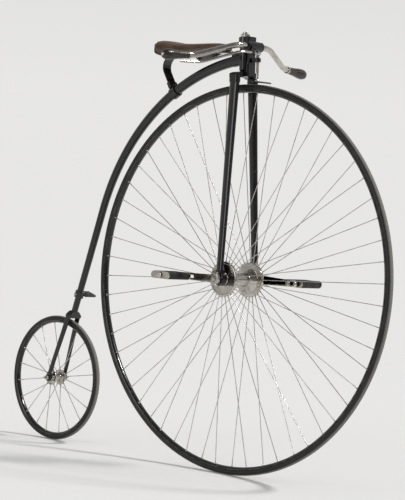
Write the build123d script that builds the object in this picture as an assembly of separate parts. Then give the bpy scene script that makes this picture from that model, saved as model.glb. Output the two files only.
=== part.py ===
from build123d import *
import math
import os

# A high wheel bicycle with a direct driven front wheel, at its real size in millimetres.
# +X is forward, +Y is the rider's left and +Z is up. The pieces are drawn about the front
# axle, or about the steering line through it, and are moved at the end so that the origin
# is the place on the saddle where the rider sits.

# Wheels and where they stand
FRONT_WHEEL_D = 1320.8
REAR_WHEEL_D = 457.2
WHEELBASE = 865.0
FRONT_TYRE_D = 25.0
REAR_TYRE_D = 22.0
FRONT_SPOKES = 56
REAR_SPOKES = 20
SPOKE_D = 2.6
SPOKE_SIDES = 6
SPOKE_SEAT = 8.0  # how deep a spoke is screwed into its flange
SPOKE_END_GAP = 0.3
CEMENT = 0.2  # layer between tyre and rim

# The tyre's section has this many flats, and the crescent rim holds the inner three
TYRE_SIDES = 10
RIM_BOTTOM = 4.0
RIM_LIP = 1.4
RIM_FLAT = 12.0

# Front hub and axle
AXLE_D = 18.0
FRONT_FLANGE_D = 118.0
FRONT_FLANGE_Y = 66.0
FRONT_FLANGE_THICK = 11.0
FRONT_BARREL_D = 44.0
HUB_BOSS_D = 44.0
FRONT_HUB_FLARE = 17.0
HUB_BOSS_PROUD = 2.5
SPOKE_RIM_Y = 3.0

# Rear hub and axle
REAR_AXLE_D = 10.0
REAR_AXLE_PROUD = 1.0  # of the nuts, before the stubs
REAR_STUB_D = 8.0
REAR_STUB_LONG = 10.0
REAR_FLANGE_D = 54.0
REAR_FLANGE_Y = 22.0
REAR_FLANGE_THICK = 6.0
REAR_BARREL_D = 25.0
REAR_HUB_FLARE = 7.0
REAR_HUB_HALF = 31.0
REAR_NUT_AF = 17.0
REAR_NUT_THICK = 8.0

# Fits
RUNNING = 0.1  # radial clearance of a shaft that turns
SEATED = 0.1  # radial clearance of a shaft that is held
SEAT_GAP = 0.3  # between curved faces that rest on each other
TYRE_ROOM = 19.6  # from the front tyre to the underside of the fork crown

# Front fork, all about the steering line
RAKE = 3.0
FORK_TOP_Y = 45.0
FORK_FOOT_Y = 88.0
BLADE_TOP = (38.0, 20.0)  # length fore and aft, thickness across
BLADE_FOOT = (26.0, 14.0)
BLADE_FOOT_S = 30.0
CROWN_THICK = 22.0
CROWN_SHOULDER = 12.0  # how far the crown's top falls to its ends
CROWN_DOME_HALF = 24.0
CROWN_DOME_RISE = 2.5  # of the curved shoulder above a straight one
CROWN_CORNER = 10.0
CROWN_ARCH = 7.0  # rise of the underside between the blades
SOCKET_LONG = 16.0  # each blade's socket under the crown
SOCKET_WALL = 2.0
BEARING_D = 48.0
BEARING_THICK = 24.0
BEARING_CAP_D = 34.0
BEARING_CAP_THICK = 2.0

# Open steering head and the neck that turns in it
NECK_D = 34.0
NECK_POINT_D = 12.0
NECK_CONE = 11.0
NECK_LENGTH = 104.0
HEAD_WEB_THICK = 10.0
HEAD_WEB_WIDTH = 40.0
HEAD_WEB_ROOM = 9.0
HEAD_WEB_EDGE = 4.0
HEAD_WAIST = 6.0  # how far each side of the web is scooped out
HEAD_WAIST_R = 62.0
HEAD_LUG_D = 44.0
HEAD_LUG_THICK = 18.0
HEAD_LUG_ROOM = 6.0
HEAD_BOLT_D = 24.0
HEAD_BOLT_CUP = 9.0
HEAD_NUT_AF = 32.0
HEAD_NUT_THICK = 10.0
HEAD_BOLT_PROUD = 8.0
HEAD_BOLT_AF = 18.0

# Handlebar: (forward of the head, out to the side, below the middle) of each corner
BAR_D = 20.0
BAR_BOSS_D = 34.0
BAR_BOSS_HALF = 36.0
BAR_BELOW_LUG = 16.0
BAR_IN_WEB = 6.0  # how far the bar is let into the front web
BAR_HALF = 350.0
BAR_CORNERS = [(0.0, 78.0, 0.0), (-60.0, BAR_HALF - 124.0, 50.0), (-76.0, BAR_HALF, 58.0)]
BAR_BEND = 130.0
GRIP_LENGTH = 118.0
GRIP_WALL = 10.0
# (from the inner end, diameter)
GRIP_BANDS = [
    (0.0, 25.0), (46.0, 28.0), (74.0, 34.0), (92.0, 36.0), (106.0, 32.0), (114.0, 22.0),
    (118.0, 8.0),
]

# Brake: a lever beside the right bar, over a plunger with a spoon ahead of the crown
LEVER_D = 9.0
LEVER_BELOW_BAR = 24.0
LEVER_AHEAD = 20.0
LEVER_TAIL_D = 15.0
LEVER_HALF = 306.0
LEVER_CORNERS = [(0.0, 80.0, 0.0), (-52.0, LEVER_HALF - 84.0, 50.0), (-64.0, LEVER_HALF, 54.0)]
LEVER_BEND = 110.0
LEVER_EAR_Y = 22.0
LEVER_EAR_THICK = 8.0
PLUNGER_D = 10.0
PLUNGER_GUIDE_THICK = 14.0
PLUNGER_GUIDE_D = 22.0
PLUNGER_GUIDE_AT = 30.0
PLUNGER_WEB_WIDTH = 16.0
SPOON_ROOM = 7.6
SPOON_THICK = 4.0
SPOON_WIDTH = 30.0
SPOON_CORNER = 8.0
SPOON_BACK = 8.0
SPOON_FRONT = 62.0

# Backbone, rear fork and mounting step
BACKBONE_TOP_D = 36.0
BACKBONE_END_D = 23.0
BACKBONE_RINGS = (8, 12)  # sections above and below the spring's clip
BACKBONE_CLEAR = 45.6  # from the front wheel to the tube's middle, where it leaves the wheel
NECK_SOCKET_LONG = 47.4
NECK_SOCKET_RISE = 40.2  # from the neck's lower point to the tube's middle
NECK_SOCKET_D = 40.0
REAR_TYRE_ROOM = 10.4  # from the rear tyre to the underside of its fork's crown
REAR_CROWN_THICK = 25.0
REAR_CROWN_LONG = 24.0
REAR_CROWN_EDGE = 9.0
REAR_COLLAR_WALL = 1.5
REAR_CROWN_CHAMFER = 4.0
REAR_FORK_TOP_Y = 23.5
REAR_FORK_FOOT_Y = 38.0
REAR_BLADE_TOP = (22.0, 9.0)
REAR_BLADE_FOOT = (17.0, 8.0)
REAR_EYE_D = 28.0
REAR_FOOT_UP = 20.0
STEP_RISE = 66.0  # from the top of the rear fork's crown to the plate
STEP_RING_WALL = 5.0
STEP_RING_HEIGHT = 24.0
STEP_OUT = 52.0
STEP_LONG = 42.0
STEP_THICK = 6.0

# Cranks and pedals
CRANK_THROW = 140.0
CRANK_END = 168.0
CRANK_THICK = 13.0
CRANK_GAP = 3.0
CRANK_ROOT_WIDTH = 28.0
CRANK_TIP_WIDTH = 22.0
CRANK_BOSS_D = 40.0
CRANK_SLOT_NEAR = 96.0
CRANK_SLOT_FAR = 155.0
AXLE_PROUD = 5.0
PIN_D = 11.0
PIN_SHOULDER_D = 19.0
PIN_SHOULDER = 5.0
PIN_NUT_AF = 18.0
PIN_NUT_THICK = 7.0
PIN_HEAD_THICK = 4.0
PEDAL_LENGTH = 106.0
PEDAL_PLATE_THICK = 4.0
PEDAL_PLATE = (84.0, 24.0)
PEDAL_PLATE_GAP = 1.5
PEDAL_SLEEVE_D = 18.0
PEDAL_RUBBER = 25.0
PEDAL_RUBBER_CHAMFER = 4.0
PEDAL_RUBBER_X = 26.0
PEDAL_GROOVES = 7
PEDAL_GROOVE = 2.2

# Saddle: leather on a cantle frame, on one long leaf spring
SEAT_BACK = 264.0
SEAT_RISE = 36.6  # from the spring's seat on the neck to the top of the leather
SPRING_WIDTH = 38.0
SPRING_THICK = 5.0
SPRING_SEAT_RISE = 26.0  # from the middle of the tube's start
SPRING_PAD_WIDTH = 28.0
SPRING_NOSE = 62.0
SPRING_BACK = (330.0, 9.0)  # the first bend: behind the front axle, above the pad
SPRING_TAIL = 88.0  # from the clip's lug to the second bend
SPRING_BEND = [220.0, 38.0]
CLIP_ANGLE = 32.7
CLIP_WALL = 5.0
CLIP_HEIGHT = 26.0
CLIP_SPAN = 2.4  # degrees of the tube's arc that are straight under the clip
CLIP_LUG = 40.0
CLIP_LUG_HEIGHT = 13.0
FRAME_WIDTH = 30.0
FRAME_THICK = 4.0
FRAME_BOLT_D = 12.0
FRAME_BOLT_SUNK = 1.0
FRAME_BOLT_BACKS = [150.0, 290.0]
FRAME_UP = 13.0  # from the spring's seat to the underside of the strap
CANTLE_LONG = 30.0
CANTLE_THICK = 3.0
NOSE_LONG = 24.0
FRAME_END_ROOM = 3.0
LEATHER_THICK = 5.5
LEATHER_FLATS = 4  # flats across the top of each arch
LEATHER_SIDE = 0.4  # share of each section's depth that stands upright
# (behind the front axle, width, below the seat, depth of the skirt)
LEATHER_SECTIONS = [
    (106.0, 34.0, 8.0, 20.0),
    (150.0, 56.0, 1.0, 28.0),
    (230.0, 96.0, 0.5, 46.0),
    (310.0, 186.0, 1.0, 54.0),
    (362.0, 222.0, -5.0, 52.0),
    (396.0, 196.0, -7.0, 34.0),
]

FRONT_R = FRONT_WHEEL_D / 2
REAR_R = REAR_WHEEL_D / 2
REAR_AXLE = Vector(-WHEELBASE, 0, REAR_R - FRONT_R)
REAR_CROWN_LOW = REAR_R + REAR_TYRE_ROOM
REAR_CROWN_AT = REAR_CROWN_LOW + REAR_CROWN_THICK
STEP_AT = REAR_CROWN_AT + STEP_RISE
CROWN_S = FRONT_R + TYRE_ROOM
CROWN_TOP_S = CROWN_S + CROWN_THICK
HUB_FACE = FRONT_FLANGE_Y + FRONT_FLANGE_THICK / 2 + HUB_BOSS_PROUD
BEARING_OUT = FORK_FOOT_Y + BEARING_THICK / 2 + BEARING_CAP_THICK
CRANK_IN = BEARING_OUT + CRANK_GAP
CRANK_OUT = CRANK_IN + CRANK_THICK
PEDAL_IN = CRANK_OUT + PIN_SHOULDER + PEDAL_PLATE_GAP
PEDAL_OUT = PEDAL_IN + PEDAL_LENGTH
NECK_S = CROWN_TOP_S - NECK_CONE / 2 + SEAT_GAP
NECK_TOP_S = NECK_S + NECK_LENGTH
LUG_S = NECK_TOP_S - NECK_CONE / 2 + HEAD_LUG_ROOM
LUG_TOP_S = LUG_S + HEAD_LUG_THICK
NECK_SOCKET_UP = NECK_S + NECK_SOCKET_RISE
NECK_SOCKET_BACK = NECK_SOCKET_UP * math.tan(math.radians(RAKE)) + NECK_SOCKET_LONG
SPRING_SEAT_UP = NECK_SOCKET_UP + SPRING_SEAT_RISE
SEAT_UP = SPRING_SEAT_UP + SEAT_RISE
WEB_X = NECK_D / 2 + HEAD_WEB_ROOM + HEAD_WEB_THICK / 2
BAR_X = WEB_X + HEAD_WEB_THICK / 2 + BAR_D / 2 - BAR_IN_WEB
BAR_S = LUG_TOP_S - BAR_BELOW_LUG - BAR_BOSS_D / 2
LEVER_X = BAR_X + LEVER_AHEAD
LEVER_S = BAR_S - LEVER_BELOW_BAR
PLUNGER_X = LEVER_X
REAR_EYE_IN = REAR_FORK_FOOT_Y - REAR_BLADE_FOOT[1] / 2
REAR_EYE_OUT = REAR_FORK_FOOT_Y + REAR_BLADE_FOOT[1] / 2
REAR_AXLE_HALF = REAR_EYE_OUT + REAR_NUT_THICK + REAR_AXLE_PROUD
SIDES = [("left", 1), ("right", -1)]

STEER = Rot(0, -RAKE, 0)
HOME = Pos(SEAT_BACK, 0, -SEAT_UP)


def slab(sketch, low, high):
    """A sketch of X and Z, thick from low to high across the bicycle."""
    return extrude(Plane.XZ.offset(-high) * sketch, high - low)


def across(diameter, low, high, x=0.0, z=0.0):
    """A round bar that lies across the bicycle."""
    return Pos(x, 0, z) * slab(Circle(diameter / 2), low, high)


def rod(start, end, diameter):
    """A straight round rod between two points."""
    start, end = Vector(*start), Vector(*end)
    plane = Plane(origin=start, z_dir=end - start)
    return extrude(plane * Circle(diameter / 2), (end - start).length)


def oval(size):
    """A slot shaped section, its length fore and aft."""
    return SlotOverall(size[0], size[1])


def polygon(across_flats, sides):
    """A regular outline given by the distance between its flats."""
    return RegularPolygon(across_flats / 2, sides, major_radius=False)


def post(diameter, low, high, x=0.0):
    """An upright round bar."""
    return Pos(x, 0, low) * Cylinder(
        diameter / 2, high - low, align=(Align.CENTER, Align.CENTER, Align.MIN)
    )


# Wheels
def tyre(wheel_d, tyre_d):
    """A solid rubber tyre, its round section drawn with flats."""
    middle = (wheel_d - tyre_d) / 2
    return revolve(Plane.YZ * Pos(0, middle) * polygon(tyre_d, TYRE_SIDES), Axis.Y)


def rim_inner(wheel_d, tyre_d):
    """The radius of the rim's inside, where the spokes end."""
    return wheel_d / 2 - tyre_d - CEMENT - RIM_BOTTOM


def rim(wheel_d, tyre_d):
    """A crescent rim: a cup that follows the tyre's inner flats, thin at its two lips."""
    middle = (wheel_d - tyre_d) / 2
    corner_r = (tyre_d / 2 + CEMENT) / math.cos(math.pi / TYRE_SIDES)
    turns = [step * math.pi / TYRE_SIDES for step in (-3, -1, 1, 3)]
    cup = [(corner_r * math.sin(turn), middle - corner_r * math.cos(turn)) for turn in turns]
    inner = rim_inner(wheel_d, tyre_d)
    back = [
        (cup[-1][0] + RIM_LIP, cup[-1][1]), (RIM_FLAT / 2, inner),
        (-RIM_FLAT / 2, inner), (cup[0][0] - RIM_LIP, cup[0][1]),
    ]
    return revolve(Plane.YZ * Polygon(*cup, *back, align=None), Axis.Y)


def hub(half, bore_d, flange_d, flange_y, flange_thick, barrel_d, flare, boss_d):
    """A spool: two flat flanges, a barrel that flares into them, and a boss at each end."""
    inner, outer = flange_y - flange_thick / 2, flange_y + flange_thick / 2
    one_side = [
        (half, bore_d / 2), (half, boss_d / 2), (outer, boss_d / 2), (outer, flange_d / 2),
        (inner, flange_d / 2), (inner, barrel_d / 2 + flare), (inner - flare, barrel_d / 2),
    ]
    other_side = [(-y, radius) for y, radius in reversed(one_side)]
    return revolve(Plane.YZ * Polygon(*one_side, *other_side, align=None), Axis.Y)


def spokes(count, flange_d, flange_y, end_r):
    """Straight spokes, every second one from the other flange."""
    rods = []
    for number in range(count):
        side = 1 if number % 2 else -1
        turn = Rot(0, 360 * (number + 0.5) / count, 0)
        inner = Vector(0, side * flange_y, flange_d / 2 - SPOKE_SEAT)
        outer = Vector(0, side * SPOKE_RIM_Y, end_r)
        plane = Plane(origin=inner, z_dir=outer - inner)
        section = polygon(SPOKE_D, SPOKE_SIDES)
        rods.append(turn * extrude(plane * section, (outer - inner).length))
    return rods


def front_hub():
    """The front hub with its direct spokes."""
    end_r = rim_inner(FRONT_WHEEL_D, FRONT_TYRE_D) - SPOKE_END_GAP
    spool = hub(
        HUB_FACE, AXLE_D + 2 * SEATED, FRONT_FLANGE_D, FRONT_FLANGE_Y,
        FRONT_FLANGE_THICK, FRONT_BARREL_D, FRONT_HUB_FLARE, HUB_BOSS_D,
    )
    return spool + spokes(FRONT_SPOKES, FRONT_FLANGE_D, FRONT_FLANGE_Y, end_r)


def rear_hub():
    """The rear hub with its direct spokes."""
    end_r = rim_inner(REAR_WHEEL_D, REAR_TYRE_D) - SPOKE_END_GAP
    spool = hub(
        REAR_HUB_HALF, REAR_AXLE_D + 2 * RUNNING, REAR_FLANGE_D, REAR_FLANGE_Y,
        REAR_FLANGE_THICK, REAR_BARREL_D, REAR_HUB_FLARE, REAR_BARREL_D,
    )
    return spool + spokes(REAR_SPOKES, REAR_FLANGE_D, REAR_FLANGE_Y, end_r)


# Cranks and pedals
def crank(side):
    """A slotted crank. The left one points forward and the right one to the rear."""
    root = Circle(CRANK_BOSS_D / 2)
    near, far = CRANK_ROOT_WIDTH / 2, CRANK_TIP_WIDTH / 2
    tip_x = CRANK_END - far
    arm = Polygon((0, -near), (tip_x, -far), (tip_x, far), (0, near), align=None)
    shape = root + arm + Pos(tip_x, 0) * Circle(far)
    slot_d = PIN_D + 2 * SEATED
    shape -= Pos((CRANK_SLOT_NEAR + CRANK_SLOT_FAR) / 2, 0) * SlotCenterToCenter(
        CRANK_SLOT_FAR - CRANK_SLOT_NEAR, slot_d
    )
    shape -= Circle(AXLE_D / 2 + SEATED)
    piece = slab(shape, CRANK_IN, CRANK_OUT)
    return piece if side > 0 else Rot(0, 0, 180) * piece


def pedal_pin(side):
    """The pin that is bolted in the crank's slot, with its nut, shoulder and end."""
    end = PEDAL_OUT + PEDAL_PLATE_GAP
    pin = across(PIN_D, CRANK_IN, end)
    pin += across(PIN_SHOULDER_D, CRANK_OUT, CRANK_OUT + PIN_SHOULDER)
    pin += across(PIN_SHOULDER_D, end, end + PIN_HEAD_THICK)
    pin += slab(polygon(PIN_NUT_AF, 6), CRANK_IN - PIN_NUT_THICK, CRANK_IN)
    piece = Pos(CRANK_THROW, 0, 0) * pin
    return piece if side > 0 else Rot(0, 0, 180) * piece


def pedal_cage(side):
    """A sleeve that turns on the pin, with a plate at each end that holds the rubbers."""
    plate = oval(PEDAL_PLATE)
    cage = across(PEDAL_SLEEVE_D, PEDAL_IN, PEDAL_OUT)
    cage += slab(plate, PEDAL_IN, PEDAL_IN + PEDAL_PLATE_THICK)
    cage += slab(plate, PEDAL_OUT - PEDAL_PLATE_THICK, PEDAL_OUT)
    cage -= across(PIN_D + 2 * RUNNING, PEDAL_IN, PEDAL_OUT)
    piece = Pos(CRANK_THROW, 0, 0) * cage
    return piece if side > 0 else Rot(0, 0, 180) * piece


def pedal_rubbers(side):
    """Two square rubber blocks with grooves across their treads."""
    low, high = PEDAL_IN + PEDAL_PLATE_THICK, PEDAL_OUT - PEDAL_PLATE_THICK
    square = Rectangle(PEDAL_RUBBER, PEDAL_RUBBER)
    block = slab(chamfer(square.vertices(), PEDAL_RUBBER_CHAMFER), low, high)
    pitch = (high - low) / (PEDAL_GROOVES + 1)
    for number in range(PEDAL_GROOVES):
        middle = low + pitch * (number + 1)
        groove = Box(PEDAL_RUBBER, PEDAL_GROOVE, PEDAL_GROOVE)
        for face in (-1, 1):
            block -= Pos(0, middle, face * PEDAL_RUBBER / 2) * groove
    pair = [Pos(CRANK_THROW + x, 0, 0) * block for x in (-PEDAL_RUBBER_X, PEDAL_RUBBER_X)]
    piece = Compound(children=pair)
    return piece if side > 0 else Rot(0, 0, 180) * piece


# Front fork and head, drawn about an upright steering line
def fork_blade(side):
    """An oval blade that narrows and spreads towards the axle, with flat level ends."""
    top = Pos(0, FORK_TOP_Y, CROWN_S - SOCKET_LONG) * oval(BLADE_TOP)
    foot = Pos(0, FORK_FOOT_Y, BLADE_FOOT_S) * oval(BLADE_FOOT)
    blade = loft([foot.face(), top.face()])
    return STEER * (blade if side > 0 else mirror(blade, Plane.XZ))


def bearing(side):
    """A round ball bearing case on the axle, with a lug that the blade is brazed to."""
    inner = FORK_FOOT_Y - BEARING_THICK / 2
    case = across(BEARING_D, inner, inner + BEARING_THICK)
    case += across(BEARING_CAP_D, inner + BEARING_THICK, BEARING_OUT)
    lug = Pos(0, FORK_FOOT_Y, 0) * Box(
        BLADE_FOOT[0], BLADE_FOOT[1], BLADE_FOOT_S, align=(Align.CENTER, Align.CENTER, Align.MIN)
    )
    case += lug
    case -= across(AXLE_D + 2 * RUNNING, 0, BEARING_OUT)
    return STEER * (case if side > 0 else mirror(case, Plane.XZ))


def neck_cone(gap):
    """The pointed end of the neck, or the cup that takes it with a gap all round."""
    wide, tip = NECK_D / 2 + gap, NECK_POINT_D / 2 + gap
    return Cone(tip, wide, NECK_CONE, align=(Align.CENTER, Align.CENTER, Align.MIN))


def head_plan(back, front):
    """The outline of the head from above, with its two front corners cut off."""
    half = HEAD_WEB_WIDTH / 2
    return Polygon(
        (back, -half), (front - HEAD_WEB_EDGE, -half), (front, HEAD_WEB_EDGE - half),
        (front, half - HEAD_WEB_EDGE), (front - HEAD_WEB_EDGE, half), (back, half), align=None,
    )


def crown():
    """A bridge with round shoulders, and a socket for each blade under its ends."""
    socket = (BLADE_TOP[0] + 2 * SOCKET_WALL, BLADE_TOP[1] + 2 * SOCKET_WALL)
    half_x, half_y = socket[0] / 2, FORK_TOP_Y + socket[1] / 2
    low, end, top = CROWN_S, CROWN_TOP_S - CROWN_SHOULDER, CROWN_TOP_S
    shoulder = ((half_y + CROWN_DOME_HALF) / 2, (end + top) / 2 + CROWN_DOME_RISE)
    outline = make_face([
        Polyline((half_y, end), (half_y, low), (-half_y, low), (-half_y, end)),
        ThreePointArc((-half_y, end), (-shoulder[0], shoulder[1]), (-CROWN_DOME_HALF, top)),
        Line((-CROWN_DOME_HALF, top), (CROWN_DOME_HALF, top)),
        ThreePointArc((CROWN_DOME_HALF, top), shoulder, (half_y, end)),
    ])
    bridge = extrude(Plane.YZ * outline, half_x, both=True)
    plan = RectangleRounded(2 * half_x, 2 * half_y, CROWN_CORNER)
    bridge &= Pos(0, 0, CROWN_S) * extrude(plan, CROWN_THICK)
    for side in (-1, 1):
        under = Pos(0, side * FORK_TOP_Y, CROWN_S - SOCKET_LONG)
        bridge += under * extrude(oval(socket), SOCKET_LONG)
    return bridge


def fork_head():
    """The crown, the front web, the top lug and the boss that holds the handlebar."""
    front = WEB_X + HEAD_WEB_THICK / 2
    middle_s = (CROWN_TOP_S + LUG_S) / 2
    tongue = Pos(0, 0, CROWN_S) * extrude(head_plan(0, front), CROWN_THICK)
    web = Pos(0, 0, CROWN_S) * extrude(
        head_plan(front - HEAD_WEB_THICK, front), LUG_TOP_S - CROWN_S
    )
    for side in (-1, 1):
        scoop_y = side * (HEAD_WEB_WIDTH / 2 - HEAD_WAIST + HEAD_WAIST_R)
        scoop = Plane.YZ * Pos(scoop_y, middle_s) * Circle(HEAD_WAIST_R)
        web -= extrude(scoop, 2 * front)
    lug_plan = Circle(HEAD_LUG_D / 2) + head_plan(0, front)
    lug = Pos(0, 0, LUG_S) * extrude(lug_plan, HEAD_LUG_THICK)
    boss = across(BAR_BOSS_D, -BAR_BOSS_HALF, BAR_BOSS_HALF, BAR_X, BAR_S)
    head = crown() + tongue + web + lug + boss
    inside = FORK_TOP_Y - BLADE_TOP[1] / 2 - SOCKET_WALL
    arch = make_face([
        Line((-inside, CROWN_S), (inside, CROWN_S)),
        ThreePointArc((inside, CROWN_S), (0, CROWN_S + CROWN_ARCH), (-inside, CROWN_S)),
    ])
    head -= extrude(Plane.YZ * arch, front, both=True)
    guide_web = Pos((WEB_X - PLUNGER_X) / 2, 0) * Rectangle(PLUNGER_X - WEB_X, PLUNGER_WEB_WIDTH)
    guide = Circle(PLUNGER_GUIDE_D / 2) + guide_web
    guide_s = CROWN_TOP_S + PLUNGER_GUIDE_AT
    head += Pos(PLUNGER_X, 0, guide_s) * extrude(guide, PLUNGER_GUIDE_THICK)
    ear = Circle(LEVER_TAIL_D / 2) + Pos(-LEVER_TAIL_D / 2, LEVER_BELOW_BAR / 2) * Rectangle(
        LEVER_TAIL_D, LEVER_BELOW_BAR
    )
    head += Pos(LEVER_X, 0, LEVER_S) * slab(ear, -LEVER_EAR_Y - LEVER_EAR_THICK, -LEVER_EAR_Y)
    head -= Pos(0, 0, NECK_S - SEAT_GAP) * neck_cone(SEAT_GAP)
    head -= post(HEAD_BOLT_D + 2 * SEATED, LUG_S, LUG_TOP_S)
    head -= across(BAR_D + 2 * SEATED, -BAR_BOSS_HALF, BAR_BOSS_HALF, BAR_X, BAR_S)
    head -= across(LEVER_D + 2 * SEATED, -LEVER_EAR_Y - LEVER_EAR_THICK, -LEVER_EAR_Y,
                   LEVER_X, LEVER_S)
    head -= post(PLUNGER_D + 2 * SEATED, guide_s, guide_s + PLUNGER_GUIDE_THICK, PLUNGER_X)
    return STEER * head


def head_bolt():
    """The centre bolt: a cup over the neck's top cone, a lock nut and a hexagon end."""
    nut_top = LUG_TOP_S + HEAD_NUT_THICK
    bolt = post(HEAD_BOLT_D, LUG_S - HEAD_BOLT_CUP, nut_top)
    bolt += Pos(0, 0, LUG_TOP_S) * extrude(polygon(HEAD_NUT_AF, 6), HEAD_NUT_THICK)
    bolt += Pos(0, 0, nut_top) * extrude(polygon(HEAD_BOLT_AF, 6), HEAD_BOLT_PROUD)
    cup = Pos(0, 0, NECK_TOP_S + SEAT_GAP) * Rot(180, 0, 0) * neck_cone(SEAT_GAP)
    return STEER * (bolt - cup)


def bar_points(corners, x, s):
    """Both halves of a bar's route from one half's corners, right end first."""
    half = [(x + ahead, out, s - below) for ahead, out, below in corners]
    return [(px, -py, ps) for px, py, ps in reversed(half)] + half


def swept_rod(points, diameter, radii):
    """A round rod along straight runs joined by tangent arcs."""
    path = FilletPolyline(*points, radius=radii)
    return sweep(Plane(origin=path @ 0, z_dir=path % 0) * Circle(diameter / 2), path)


def handlebar():
    """One steel bar from grip to grip, through the boss in front of the head."""
    return STEER * swept_rod(bar_points(BAR_CORNERS, BAR_X, BAR_S), BAR_D, BAR_BEND)


def grip(side):
    """A pear shaped handle that covers the end of the bar."""
    points = bar_points(BAR_CORNERS, BAR_X, BAR_S)
    end, before = Vector(*points[-1]), Vector(*points[-2])
    outward = (end - before).normalized()
    bore = BAR_D / 2 + 2 * SEATED
    deep = GRIP_LENGTH - GRIP_WALL
    inner_end = Plane(
        origin=end - outward * (deep - SEAT_GAP), x_dir=(0, 0, 1), z_dir=outward
    )
    outside = [(diameter / 2, along) for along, diameter in GRIP_BANDS]
    section = Polygon(
        (0, deep), (bore, deep), (bore, 0), *outside, (0, GRIP_LENGTH), align=None
    )
    piece = STEER * (inner_end.location * revolve(Plane.XZ * section, Axis.Z))
    return piece if side > 0 else mirror(piece, Plane.XZ)


def brake_lever():
    """A round lever beside the right bar, with its tail on top of the plunger."""
    half = [(LEVER_X + ahead, -out, LEVER_S - below) for ahead, out, below in LEVER_CORNERS]
    points = [(LEVER_X, 0, LEVER_S)] + half
    lever = swept_rod(points, LEVER_D, LEVER_BEND)
    lever += across(LEVER_TAIL_D, -LEVER_TAIL_D / 2, LEVER_TAIL_D / 2, LEVER_X, LEVER_S)
    return STEER * lever


def brake_spoon():
    """A curved spoon that hangs above the tyre on a plunger in its guide."""
    low_r = FRONT_R + SPOON_ROOM
    ring = Circle(low_r + SPOON_THICK) - Circle(low_r)
    front, back = PLUNGER_X + SPOON_FRONT, PLUNGER_X - SPOON_BACK - PLUNGER_D
    middle = (front + back) / 2
    window = Pos(middle, low_r) * Rectangle(front - back, 4 * (SPOON_THICK + SPOON_ROOM))
    spoon = slab(ring & window, -SPOON_WIDTH / 2, SPOON_WIDTH / 2)
    plan = Rectangle(front - back, SPOON_WIDTH)
    plan = chamfer(plan.vertices(), SPOON_CORNER)
    spoon &= Pos(middle, 0, 0) * extrude(plan, low_r + 2 * SPOON_THICK)
    top = LEVER_S - LEVER_TAIL_D / 2 - SEAT_GAP
    foot = math.sqrt((low_r + SPOON_THICK / 2) ** 2 - PLUNGER_X**2)
    spoon += post(PLUNGER_D, foot, top, PLUNGER_X)
    return STEER * spoon


# Backbone: one arc over the wheel, then straight down to the rear fork
def backbone_layout():
    """Where the tube starts, leaves its arc and ends, and how it leans, all in X and Z."""
    tangent_r = FRONT_R + BACKBONE_CLEAR
    reach = math.hypot(REAR_AXLE.X, REAR_AXLE.Z)
    turn = math.atan2(REAR_AXLE.Z, REAR_AXLE.X) + 2 * math.pi - math.acos(tangent_r / reach)
    out = (math.cos(turn), math.sin(turn))
    leave = (tangent_r * out[0], tangent_r * out[1])
    start = (-NECK_SOCKET_BACK, NECK_SOCKET_UP)
    # the arc's middle lies beyond the front axle, so that the arc touches the line at leave
    beyond = (start[0] ** 2 + start[1] ** 2 - tangent_r**2) / (
        2 * (tangent_r - start[0] * out[0] - start[1] * out[1])
    )
    middle = (-beyond * out[0], -beyond * out[1])
    radius = tangent_r + beyond
    straight = math.hypot(leave[0] - REAR_AXLE.X, leave[1] - REAR_AXLE.Z)
    lean = math.degrees(math.atan2(leave[0] - REAR_AXLE.X, leave[1] - REAR_AXLE.Z))
    return start, leave, middle, radius, straight, lean


START, LEAVE, ARC_MIDDLE, ARC_R, STRAIGHT, LEAN = backbone_layout()
REAR_FRAME = Pos(REAR_AXLE.X, 0, REAR_AXLE.Z) * Rot(0, LEAN, 0)
START_ANGLE = math.degrees(math.atan2(START[1] - ARC_MIDDLE[1], START[0] - ARC_MIDDLE[0]))
LEAVE_ANGLE = math.degrees(math.atan2(LEAVE[1] - ARC_MIDDLE[1], LEAVE[0] - ARC_MIDDLE[0]))
START_TURN = math.radians(START_ANGLE)
ARC_LENGTH = math.radians(LEAVE_ANGLE) * ARC_R - START_TURN * ARC_R
CLIP_TURN = 90.0 + CLIP_ANGLE
TUBE_LENGTH = ARC_LENGTH + STRAIGHT - REAR_CROWN_AT


def arc_point(angle):
    """A point of the backbone's arc."""
    turn = math.radians(angle)
    return (ARC_MIDDLE[0] + ARC_R * math.cos(turn), ARC_MIDDLE[1] + ARC_R * math.sin(turn))


def tube_d(along):
    """The backbone's diameter at a length along it."""
    return BACKBONE_TOP_D + (BACKBONE_END_D - BACKBONE_TOP_D) * along / TUBE_LENGTH


def backbone_ring(angle):
    """The tube's section at a place on its arc."""
    x, z = arc_point(angle)
    turn = math.radians(angle)
    plane = Plane(origin=(x, 0, z), z_dir=(-math.sin(turn), 0, math.cos(turn)))
    return (plane * Circle(tube_d(turn * ARC_R - START_TURN * ARC_R) / 2)).face()


def backbone():
    """A round tube that tapers all the way from the neck to the rear fork."""
    above, below = BACKBONE_RINGS
    first, last = CLIP_TURN - CLIP_SPAN / 2, CLIP_TURN + CLIP_SPAN / 2
    turns = [START_ANGLE + (first - START_ANGLE) * step / (above - 1) for step in range(above)]
    turns += [last + (LEAVE_ANGLE - last) * step / (below - 1) for step in range(below)]
    end = REAR_FRAME * Pos(0, 0, REAR_CROWN_AT) * Circle(BACKBONE_END_D / 2)
    return loft([backbone_ring(turn) for turn in turns] + [end.face()], ruled=True)


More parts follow.
